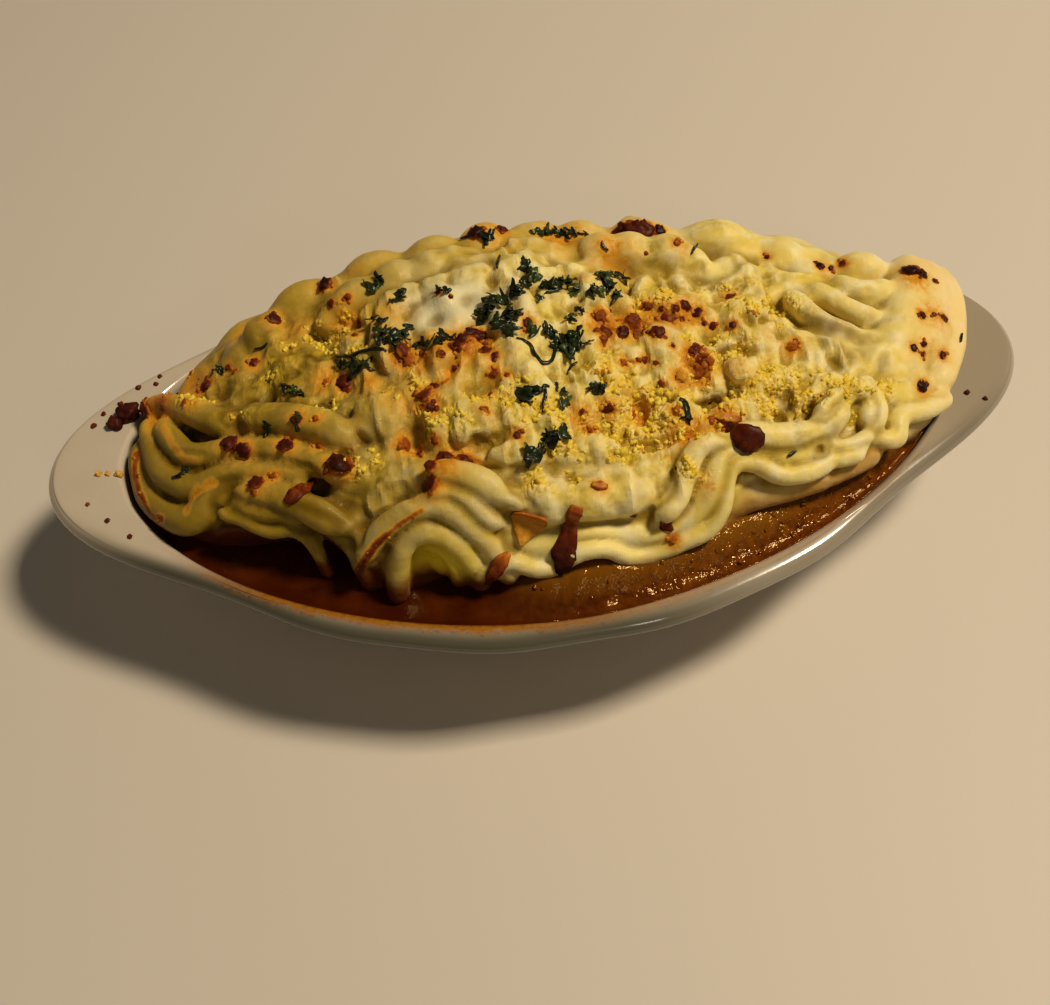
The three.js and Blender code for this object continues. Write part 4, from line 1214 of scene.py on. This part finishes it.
def mashMaterial():
    paint = Finish("bakedMash")
    height, mottle = paint.grain(2.6, 0.8)
    x, y = paint.axes()[:2]
    # painted shade: the mash darker and more golden towards the left end, which also darkens the shade, lit
    # and soaked colours there
    leftward = paint.span(x, 0.0, -0.065, 0.0, 0.94)
    backward = paint.times(paint.span(y, 0.028, 0.042), paint.span(x, 0.06, 0.02), 0.75)
    shade = paint.mix(leftward, (0.30, 0.185, 0.011), (0.11, 0.055, 0.002))
    lit = paint.mix(leftward, (0.90, 0.84, 0.52), (0.40, 0.27, 0.016))
    pale = paint.times(paint.span(paint.lumps(7.0), 0.5, 0.64), 0.7)
    olive = paint.times(paint.span(paint.lumps(6.0, 4.0, 0.6), 0.5, 0.66, 0.0, 0.8), paint.mask("top"))
    broad = paint.span(paint.lumps(16.0), 0.35, 0.65)
    paint.colour = paint.mix(broad, (0.76, 0.575, 0.095), (0.86, 0.735, 0.27))
    for amount, colour in (
        (paint.times(mottle, 0.25), (0.86, 0.71, 0.19)),
        (pale, (0.86, 0.79, 0.48)),
        (olive, (0.42, 0.305, 0.028)),
        # painted shade towards the left end
        (leftward, (0.27, 0.165, 0.004)),
        # painted shade in the sunk parts between the streak ridges
        (paint.mask("streak", 0.45), (0.36, 0.25, 0.02)),
        (paint.span(x, 0.1, 0.12, 0.0, 0.6), (0.88, 0.66, 0.34)),
        (backward, (0.55, 0.38, 0.05)),
        (paint.mask("crumbs", 0.85), (0.80, 0.56, 0.03)),
        (paint.mask("melted"), (0.76, 0.70, 0.43)),
        # painted shade in hollows and creases, and painted highlight on ridges
        (paint.mask("hollow", 0.9), shade),
        (paint.mask("crease", 0.55), shade),
        (paint.mask("ridge", 0.35), lit),
        # painted shade in the front-left recesses and the listed hollows
        (paint.mask("deep", 0.8), (0.22, 0.12, 0.008)),
        # painted light over the cheese's own yellow: the coil's middle made brighter against its shade
        (paint.mask("coil", 0.9), (0.90, 0.68, 0.010)),
    ):
        paint.layer(amount, colour)
    # golden specks on the crests, broad light browning on top, and what is scorched
    gold = paint.times(paint.mask("crest"), paint.span(paint.lumps(4.5, 4.0, 0.7), 0.58, 0.72), 0.2)
    baked = paint.times(paint.span(paint.lumps(12.0, 5.0, 0.65), 0.5, 0.72, 0.0, 0.2), paint.mask("top"))
    baked = paint.math("SUBTRACT", baked, paint.mask("melted"), clamp=True)
    browned = paint.math("MAXIMUM", gold, baked)
    paint.toast(paint.math("MAXIMUM", paint.mask("scorch"), browned), 0.55)
    # sauce that has soaked in, darker on the left with the painted shade
    rightSoak = paint.mix(mottle, (0.36, 0.14, 0.014), (0.50, 0.25, 0.04))
    paint.layer(paint.mask("soaked", 0.8), paint.mix(leftward, rightSoak, (0.14, 0.035, 0.004)))
    # the sauce's dark line, which is also painted shade high in the front-left recesses
    paint.layer(paint.mask("sauceLine", 0.85), (0.10, 0.016, 0.003))
    damp = paint.math("MAXIMUM", paint.mask("soaked"), paint.mask("melted"))
    loose = paint.span(paint.mask("onRope"), 0.0, 1.0, 1.0, 0.45)
    return paint.done(paint.times(height, loose), 0.4, 0.5, {
        "Roughness": paint.span(damp, 0.0, 1.0, 0.42, 0.32),
        "Specular IOR Level": 0.24, "Specular Tint": (1.0, 0.85, 0.55, 1),
        "Subsurface Weight": 0.2, "Subsurface Radius": (0.004, 0.0022, 0.0008), "Subsurface Scale": 1.0})


paintMash(mash)
mash.data.materials.append(mashMaterial())
print("mash painted")


def makeScatterTree():
    # sets copies of a small shape on a surface, as thick as one of its masks says
    inputs = [("Geometry", "Geometry", None), ("Shape", "Object", None), ("Mask", "String", ""),
              ("Density", "Float", 1000.0), ("Spacing", "Float", 0.001), ("Smallest", "Float", 0.5),
              ("Largest", "Float", 1.0), ("Sink", "Float", 0.0), ("Seed", "Int", 1),
              ("Finish", "Material", None)]
    tree, start, end = newGroup("scatterCrumbs", "GeometryNodeTree", inputs, [("Geometry", "Geometry")])
    mask = addNode(tree, "GeometryNodeInputNamedAttribute", {"Name": start["Mask"]}, data_type="FLOAT")
    spread = addNode(tree, "GeometryNodeDistributePointsOnFaces", {
        "Mesh": start["Geometry"], "Distance Min": start["Spacing"], "Density Max": start["Density"],
        "Density Factor": mask.outputs[0], "Seed": start["Seed"]}, distribute_method="POISSON")
    down = addNode(tree, "ShaderNodeVectorMath", {0: spread.outputs["Normal"], "Scale": start["Sink"]},
                   operation="SCALE")
    sunk = addNode(tree, "GeometryNodeSetPosition", {
        "Geometry": spread.outputs["Points"], "Offset": down.outputs[0]})
    shape = addNode(tree, "GeometryNodeObjectInfo", {"Object": start["Shape"]})
    turn = addNode(tree, "FunctionNodeRandomValue", {
        "Max": (fullTurn, fullTurn, fullTurn), "Seed": start["Seed"]}, data_type="FLOAT_VECTOR")
    size = addNode(tree, "FunctionNodeRandomValue", {
        2: start["Smallest"], 3: start["Largest"], "Seed": start["Seed"]}, data_type="FLOAT")
    placed = addNode(tree, "GeometryNodeInstanceOnPoints", {
        "Points": sunk.outputs[0], "Instance": shape.outputs["Geometry"],
        "Rotation": turn.outputs[0], "Scale": size.outputs[1]})
    real = addNode(tree, "GeometryNodeRealizeInstances", {"Geometry": placed.outputs[0]})
    painted = addNode(tree, "GeometryNodeSetMaterial", {
        "Geometry": real.outputs[0], "Material": start["Finish"]})
    smooth = addNode(tree, "GeometryNodeSetShadeSmooth", {"Geometry": painted.outputs[0]})
    tree.links.new(smooth.outputs[0], end["Geometry"])
    return tree


scatterTree = makeScatterTree()


def crumbShape(name, radius, seed):
    directions, faces = ballShape(2)
    points = []
    for direction in directions:
        uneven = noise.noise(direction * 1.1 + Vector((seed, 0, 0)))
        points.append(direction * Vector((1.25, 1, 0.85)) * radius * mm * (1 + 0.95 * uneven))
    mesh = bpy.data.meshes.new(name)
    mesh.from_pydata(points, [], faces)
    return newObject(name, mesh)


def scatter(name, host, settings, material):
    carrier = newObject(name + "Carrier", host.data.copy())
    shape = crumbShape(name + "Shape", settings["radius"], settings["seed"])
    modifier = carrier.modifiers.new("scatter", "NODES")
    modifier.node_group = scatterTree
    values = {
        "Shape": shape, "Mask": settings["mask"], "Density": settings["density"],
        "Spacing": settings["spacing"] * mm, "Sink": -settings["sink"] * mm, "Smallest": settings["smallest"],
        "Largest": settings["largest"], "Seed": settings["seed"], "Finish": material,
    }
    for item in scatterTree.interface.items_tree:
        if item.in_out == "INPUT" and item.name in values:
            modifier[item.identifier] = values[item.name]
    piece = asPlainMesh(carrier, name)
    bpy.data.objects.remove(shape)
    return piece


def crumbMaterial():
    paint = Finish("cheeseCrumb")
    broad = paint.span(paint.lumps(7.0, 3.0, 0.6), 0.4, 0.62)
    paint.colour = paint.mix(broad, (0.82, 0.57, 0.03), (0.85, 0.66, 0.09))
    paint.toast(paint.span(paint.lumps(4.5, 4.0, 0.65), 0.55, 0.70, 0.0, 0.45), 0.3)
    return paint.done(paint.grain(1.8, 0.6)[0], 0.3, 0.2, {
        "Roughness": 0.42, "Specular IOR Level": 0.2, "Subsurface Weight": 0.1,
        "Subsurface Radius": (0.003, 0.0018, 0.0006), "Subsurface Scale": 1.0})


def brownedCrumbMaterial():
    paint = Finish("brownedCrumb", (0.8, 0.5, 0.1, 1))
    paint.toast(paint.span(paint.lumps(2.6, 3.0, 0.6), 0.32, 0.68, 0.3, 0.8), 0.3)
    return paint.done(paint.grain(1.6, 0.5)[0], 0.4, 0.25, {"Roughness": 0.36, "Specular IOR Level": 0.25})


cheeseCrumbs = scatter("cheese_crumbs", mash, {
    "radius": 0.66, "mask": "crumbled", "density": 6.0e5, "spacing": 0.95, "smallest": 0.35, "largest": 1.5,
    "sink": 0.45, "seed": 3,
}, crumbMaterial())
sauceGrains = scatter("sauce_grains", filling, {
    "radius": 0.75, "mask": "grains", "density": 1.4e5, "spacing": 1.6, "smallest": 0.35, "largest": 1.1,
    "sink": 0.35, "seed": 5,
}, sauceMaterial("sauceGrain", 1.3))
brownedCrumbs = scatter("browned_crumbs", mash, {
    "radius": 0.55, "mask": "toasting", "density": 4.0e5, "spacing": 1.1, "smallest": 0.4, "largest": 1.3,
    "sink": 0.3, "seed": 9,
}, brownedCrumbMaterial())
print("crumbs:", len(cheeseCrumbs.data.polygons), "faces, grains:", len(sauceGrains.data.polygons), "faces")


def frameFrom(normal, heading):
    # a matrix whose Z is the surface normal and whose X points along the heading
    z = normal.normalized()
    x = Vector((math.cos(heading), math.sin(heading), 0))
    x = (x - z * x.dot(z)).normalized()
    return Matrix((x, z.cross(x), z)).transposed()


def blobPoints(spot, normal, radius, flat, draw, level=2, uneven=1.0):
    # a flattened, uneven ball on a surface, with each point's height on the ball
    turn = frameFrom(normal, draw() * fullTurn)
    seed = Vector((draw() * 50, draw() * 50, draw() * 50))
    directions, faces = ballShape(level)
    points = []
    for direction in directions:
        wobble = 0.5 * noise.noise(direction * 1.4 + seed) + 0.34 * noise.noise(direction * 3.6 + seed)
        p = direction * radius * (1 + uneven * wobble)
        p.z *= flat
        points.append(turn @ p + spot)
    return points, faces, np.array([direction.z for direction in directions])


class Heap:
    # gathers the points and faces of many small shapes, with one value for each point
    def __init__(self):
        self.points = []
        self.faces = []
        self.values = []

    def add(self, points, faces, value):
        first = len(self.points)
        self.points.extend(points)
        self.faces.extend([first + i for i in face] for face in faces)
        self.values.extend([value] * len(points) if np.isscalar(value) else value)

    def piece(self, name, mask):
        made = makePiece(name, self.points, self.faces)
        setMasks(made, **{mask: np.array(self.values)})
        return made


def toastedSides(burnt, heights):
    # darkest on top and orange where it meets the potato
    return np.minimum(1, burnt * (0.66 + 0.52 * smoothStep(heights, 0.0, 0.6))).tolist()


lumpStyle = {"seed": 19, "size": 0.95, "flat": 0.52, "looseFlat": 0.7}


def buildBrowned():
    # a rounded bead, with smaller and paler crumbs of its own round it
    draw = drawFrom(lumpStyle["seed"])
    heap = Heap()
    for x, y, radius, burnt, crumbs in brownedLumps:
        spot, normal = landing(x, y)
        bead = radius * lumpStyle["size"]
        points, faces, heights = blobPoints(spot, normal, bead, lumpStyle["flat"], draw, 3)
        heap.add(points, faces, toastedSides(burnt, heights))
        for _ in range((crumbs + 1) // 2):
            turn = frameFrom(normal, draw() * fullTurn)
            away = radius * (0.8 + 0.4 * draw()) + 0.5
            own = 0.4 + (0.1 + 0.25 * draw()) * radius
            place, facing = mashTree.find_nearest(spot + turn @ Vector((away, 0, 0)))[:2]
            points, faces, heights = blobPoints(place, facing, own, lumpStyle["looseFlat"], draw)
            heap.add(points, faces, toastedSides(burnt * (0.5 + 0.4 * draw()), heights))
    return heap.piece("browned_lumps", "burnt")


# torn flakes of browned skin: stations of x, y, half width and how burnt
brownedFlakes = [
    [(-72.5, -36, 0.8, 0.8), (-70, -35, 2.0, 0.78), (-67, -34, 1.9, 0.7), (-63.5, -32.5, 1.2, 0.62),
     (-60, -31.5, 1.0, 0.7)],
    [(-9.6, -53, 4.2, 0.48), (-10.3, -54, 5.0, 0.42), (-11.6, -55.3, 3.4, 0.36),
     (-12.6, -56.6, 1.6, 0.3), (-13, -57.5, 0.4, 0.28)],
    [(2.6, -52.6, 1.6, 0.56), (1.6, -53.6, 2.1, 0.62), (0.6, -55, 1.6, 0.66), (-0.6, -57, 2.2, 0.74),
     (-2.2, -59, 3.5, 0.9), (-3, -60.2, 2.6, 0.97), (-3.2, -61.4, 0.4, 1.0)],
    [(-16.5, -58.2, 0.6, 0.4), (-18.5, -58.8, 2.0, 0.55), (-21, -59.6, 2.3, 0.68),
     (-23.6, -60.4, 0.6, 0.8)],
    [(24, -56.3, 0.4, 0.85), (25.5, -56.8, 1.4, 0.8), (27, -57.6, 0.5, 0.7)],
    [(7, -48.6, 0.5, 0.4), (9, -49, 1.2, 0.52), (11, -49.4, 0.5, 0.45)],
    [(44, -34.5, 0.8, 0.7), (46, -35.8, 1.5, 0.82), (48, -37, 2.0, 0.8), (50, -38.4, 3.6, 0.82),
     (52, -39.8, 4.0, 0.84), (53.6, -41, 3.0, 0.84), (54.6, -41.8, 0.6, 0.8)],
    [(43, -33, 0.5, 0.35), (45.5, -33.4, 1.3, 0.4), (48.5, -34, 1.2, 0.42), (50.5, -34.6, 0.5, 0.6)],
]


def ribbonShape(stations, thickness, seed, across=5, perSpan=5):
    # a thin torn strip that lies on the surface, its two faces split alike, shut along its edge
    landed = [landing(x, y) for x, y, _, _ in stations]
    normal = sum((facing for _, facing in landed), Vector()).normalized()
    path = smoothPath([spot for spot, _ in landed], perSpan)
    count = len(path)
    at = np.linspace(0, len(stations) - 1, count)
    halves, burns = (np.interp(at, range(len(stations)), [s[k] for s in stations]) for k in (2, 3))
    top = []
    bottom = []
    burnt = []
    for i, (point, half, burn) in enumerate(zip(path, halves, burns)):
        side = normal.cross(path[min(i + 1, count - 1)] - path[max(i - 1, 0)]).normalized()
        for share in np.linspace(-1, 1, across):
            ragged = 1 + 0.1 * noise.noise(Vector((i * 0.3, 2 * (share > 0), seed)))
            lift = 0.4 + 0.2 * noise.noise(Vector((i * 0.4, share * 1.5, seed + 3)))
            lift += 0.05 * half * share * share
            spot = point + side * share * half * ragged
            spot = spot.lerp(mashTree.find_nearest(spot)[0], 0.65)
            top.append(spot + normal * (lift + thickness / 2))
            bottom.append(spot + normal * (lift - thickness / 2))
            burnt.append(burn + 0.12 * noise.noise(Vector((i * 0.5, share * 2, seed + 5))))
    size = count * across
    faces = []
    for row in range(0, size - across, across):
        for a in range(row, row + across - 1):
            b = a + across
            faces.append((a, b, b + 1, a + 1))
            faces.append((size + a + 1, size + b + 1, size + b, size + a))
    edge = [*range(0, size, across), *range(size - across + 1, size)]
    edge += [*range(size - across - 1, 0, -across), *range(across - 2, 0, -1)]
    for a, b in zip(edge, edge[1:] + edge[:1]):
        faces.append((b, a, size + a, size + b))
    return top + bottom, faces, burnt + burnt


flakeThickness = 0.8
stemThickness = 0.5


def buildFlakes():
    heap = Heap()
    for i, stations in enumerate(brownedFlakes):
        heap.add(*ribbonShape(stations, flakeThickness, i * 3.1))
    return heap.piece("scorched_flakes", "burnt")


def scorchedMaterial():
    paint = Finish("scorchedCheese", (0.7, 0.4, 0.08, 1))
    paint.toast(paint.mask("burnt"), 0.4)
    return paint.done(paint.grain(1.6, 0.5)[0], 0.5, 0.3, {"Roughness": 0.45, "Specular IOR Level": 0.16})


scorched = scorchedMaterial()
lumps = buildBrowned()
lumps.data.materials.append(scorched)
flakes = buildFlakes()
flakes.data.materials.append(scorched)

# sprigs: x, y, length and heading in degrees
parsleySpots = [
    (-44, 27, 9, 100), (-42, 8, 8, 80), (-40, 3, 8, 20), (-50, 1, 10, -10), (-68, -2, 8, -25),
    (-35, 4, 7, 160), (-30, -2, 8, -15), (-25, -4, 6, 30), (1, 21, 7, 85), (5, -27, 7, 80), (9, 43, 8, 0),
    (15, 41, 8, 20), (-89, 15, 5, 130), (-102, -17, 4, 30), (-75, -13, 4, 110), (-68, -14, 4, 60),
    (-37, 18, 5, 10), (-24, 15, 4, 0), (-8, 40, 5, 60), (20, 42, 5, 0),
]

# thin stems: half width, then points in plan
parsleyStems = [
    (0.5, (-5.7, -7.3), (-3.9, -8.1), (-2.3, -10), (-1.8, -13.2), (-0.4, -16), (1.8, -16.1), (4, -12.4),
     (5.7, -8.9)),
    (0.5, (-7.1, -26.3), (-5.7, -24.3), (-3.6, -24.2), (-1.6, -24.7), (-0.5, -23.2), (0.7, -23.6)),
    (0.45, (-0.5, -23.6), (-0.8, -26.2), (-1.9, -28.6), (-2.4, -31)),
    (0.9, (34.6, -27.8), (35.7, -29.2), (35.9, -31), (36.3, -34.2)),
    (0.4, (5.9, -20.1), (7.4, -17.5), (9.2, -16.2)),
    (0.45, (-55, 3.4), (-51, 1.6), (-47, 1.7), (-43, 0.6), (-40.5, -1.4)),
    (0.4, (-71.5, 1), (-69, -1.4), (-66.5, -2.6)), (0.5, (-75.6, -10.6), (-76, -13), (-76.6, -15.4)),
    (0.4, (-78.6, 18.4), (-76, 17.8), (-74.6, 19)), (0.4, (-43, 3), (-41, 5.4), (-39.6, 8)),
    (0.4, (22, 9), (24, 12), (25, 15.6)), (0.4, (26.8, 30), (25.8, 33), (26.2, 36)),
    (0.5, (51.4, 28), (53, 31), (54.8, 33.6)), (0.4, (130.2, 0.8), (131, 2.4), (131.8, 4)),
    (0.5, (60.8, -44.6), (62, -44), (63.4, -43.4)), (0.4, (-6.6, 21), (-6, 24), (-5, 27)),
    (0.4, (4, 11.6), (7, 12.6), (10, 12)), (0.4, (-15, 41.6), (-12, 42.4), (-9.6, 42)),
]

# broad leaves: x, y and length
parsleyLeaves = [
    (-12.6, 1.4, 5), (-9.2, 7.8, 5), (-6.5, 7.5, 4), (-9.2, -1.7, 5), (-6.8, -3.9, 4), (-4.6, 1.5, 5),
    (-11.6, 4.4, 5), (-7, 1, 5), (-3.2, 11.2, 5), (-0.2, 13.9, 4), (3.3, 16.4, 4), (-2, 9.9, 4),
    (3.1, 6.9, 3), (5.7, 12.5, 5), (7.3, 10.1, 4), (10, 14.7, 4), (12.2, 13.9, 4), (13.5, 10.2, 4),
    (17.8, 10.4, 4), (23.1, 17, 5), (24.1, 13.6, 5), (27.2, 17.1, 5), (22.5, 11.4, 4), (24.6, 8.6, 4),
    (10.2, -0.1, 3), (13, 3, 3), (-0.2, -5.2, 4), (2.6, -4.5, 4), (3.7, -6.4, 4), (6.3, -10, 5),
    (8.2, -8.3, 5), (9.8, -10, 5), (6.5, -13.5, 5), (10.5, -6.4, 5), (11.5, -8.2, 4), (8, -11.6, 5),
    (5, -11.6, 4), (-5.4, -25.8, 6), (12.6, -23.9, 3.6), (14.2, -24.4, 2.4), (36, -33, 3), (-2, -38, 5),
    (-5, -40, 4), (1, -36.6, 4), (-8, -41, 5),
]


def leafShape(length, width, seed, sides=18, thick=0.12):
    # a small curled leaf with ragged lobes, split alike on both faces
    flat = [(0, 0)]
    for share in (0.5, 1.0):
        for side in range(sides):
            angle = side / sides * fullTurn
            lobes = 1 + share * (0.3 * math.sin(3 * angle + seed) + 0.2 * math.sin(5 * angle + seed * 2.3))
            halfLength, halfWidth = length / 2 * share * lobes, width / 2 * share * lobes
            flat.append((halfLength * math.cos(angle), halfWidth * math.sin(angle)))
    lifted = []
    for x, y in flat:
        curl = 0.8 * noise.noise(Vector((x * 0.5, y * 0.6, seed)))
        curl += 0.6 * noise.noise(Vector((x * 1.3, y * 1.3, seed + 9)))
        lifted.append((x, y, curl + 0.2 * y * y))
    size = len(flat)
    faces = []
    for side in range(sides):
        low, after = 1 + side, 1 + (side + 1) % sides
        high, highAfter = low + sides, after + sides
        for face in ((0, low, after), (low, high, highAfter, after)):
            faces += [face, tuple(size + i for i in reversed(face))]
        faces.append((high, size + high, size + highAfter, highAfter))
    points = [(x, y, z + half) for half in (thick, -thick) for x, y, z in lifted]
    return points, faces


def buildParsley():
    # each sprig is a run of small leaves along a bent stem that lies on the surface
    draw = drawFrom(77)
    heap = Heap()

    def lay(x, y, length, width, heading, tilted, lift):
        spot, normal = landing(x, y)
        points, faces = leafShape(length, width, draw() * 40)  # the number sets its lobes
        tilt = Matrix.Rotation((draw() - 0.5) * tilted, 3, "X")
        tilt = tilt @ Matrix.Rotation((draw() - 0.5) * tilted * 0.7, 3, "Y")
        turn = frameFrom(normal, heading) @ tilt
        heap.add([turn @ Vector(p) + spot + normal * lift for p in points], faces, draw())

    for x, y, length, heading in parsleySpots:
        course = math.radians(heading)
        bend = (draw() - 0.5) * 0.3
        leaves = max(2, round(length * 0.55))
        step = length / leaves
        px = x - math.cos(course) * length / 2
        py = y - math.sin(course) * length / 2
        for leaf in range(leaves):
            course += bend
            px += math.cos(course) * step
            py += math.sin(course) * step
            aside = (draw() - 0.5) * length * 0.42
            own = 2.2 + 3.0 * draw() ** 1.5
            lay(px - math.sin(course) * aside, py + math.cos(course) * aside, own,
                own * (0.35 + 0.5 * draw()), course + (draw() - 0.5) * 3.0, 1.2, 0.25 + 0.4 * draw())
    for x, y, length in parsleyLeaves:
        own = length * (0.95 + 0.4 * draw())
        lay(x, y, own, own * (0.4 + 0.4 * draw()), draw() * fullTurn, 1.3, 0.4 + 0.4 * draw())
        lay(x + 3 * draw() - 1.5, y + 3 * draw() - 1.5, own * 0.8, own * (0.3 + 0.3 * draw()),
            draw() * fullTurn, 1.5, 0.6 + 0.6 * draw())
    for i, (half, *route) in enumerate(parsleyStems):
        ends = (0, len(route) - 1)
        stations = [(x, y, half / 2 if at in ends else half, 0.1) for at, (x, y) in enumerate(route)]
        heap.add(*ribbonShape(stations, stemThickness, i * 1.7, 3, 4))
    return heap.piece("parsley_flakes", "shade")


leafGreens = [
    (0.0, (0.006, 0.006, 0.003)), (0.6, (0.012, 0.020, 0.005)),
    (0.88, (0.026, 0.042, 0.008)), (1.0, (0.09, 0.14, 0.03)),
]


def parsleyMaterial():
    paint = Finish("bakedParsley")
    height, mottle = paint.grain(2.0, 0.6)
    paint.colour = paint.ramp(paint.mask("shade"), leafGreens)
    paint.layer(paint.times(mottle, 0.3), (0.020, 0.042, 0.008))
    return paint.done(height, 0.6, 0.3, {"Roughness": 0.3, "Specular IOR Level": 0.4})


parsley = buildParsley()
parsley.data.materials.append(parsleyMaterial())
print("browned lumps, flakes and parsley ready")

# crumbs on the flat of the rim: x, y, radius and how burnt
earCrumbs = [
    (-131.4, 16, 0.8, 0.75), (-128.6, 20, 0.7, 0.8), (-123.6, 23, 0.8, 0.8), (-118.4, 28.6, 0.8, 0.8),
    (-113.2, 29, 0.7, 0.75), (-112, 31.8, 0.6, 0.8), (-129, -2.3, 1.0, 0.1), (-126.4, -2.8, 0.8, 0.12),
    (-123.5, -3.4, 1.1, 0.15), (-131.7, -12.9, 0.6, 0.6), (-125.7, -19.6, 0.7, 0.8),
    (-119.3, -26.3, 0.7, 0.8), (-125, 15, 2.4, 0.9), (-121, 18, 3.2, 0.92), (123.4, -21, 0.8, 0.85),
    (127.6, -24.1, 0.7, 0.8),
]


def buildEarCrumbs():
    draw = drawFrom(23)
    heap = Heap()
    dishTree = treeOf(dish)
    for x, y, radius, burnt in earCrumbs:
        spot, normal = dishTree.ray_cast(Vector((x, y, 120)), Vector((0, 0, -1)))[:2]
        points, faces, _ = blobPoints(spot + normal * radius * 0.35, normal, radius, 0.75, draw, 3)
        heap.add(points, faces, burnt)
    return heap.piece("ear_crumbs", "burnt")


spilled = buildEarCrumbs()
spilled.data.materials.append(scorched)


def handOver(piece, node=None):
    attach(piece, "root")
    if node:
        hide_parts(node)


handOver(dish, "dish")
handOver(filling, "filling")
handOver(sauceGrains)
handOver(mash, "mash")
for topping in (cheeseCrumbs, brownedCrumbs, lumps, flakes, parsley, spilled):
    handOver(topping)
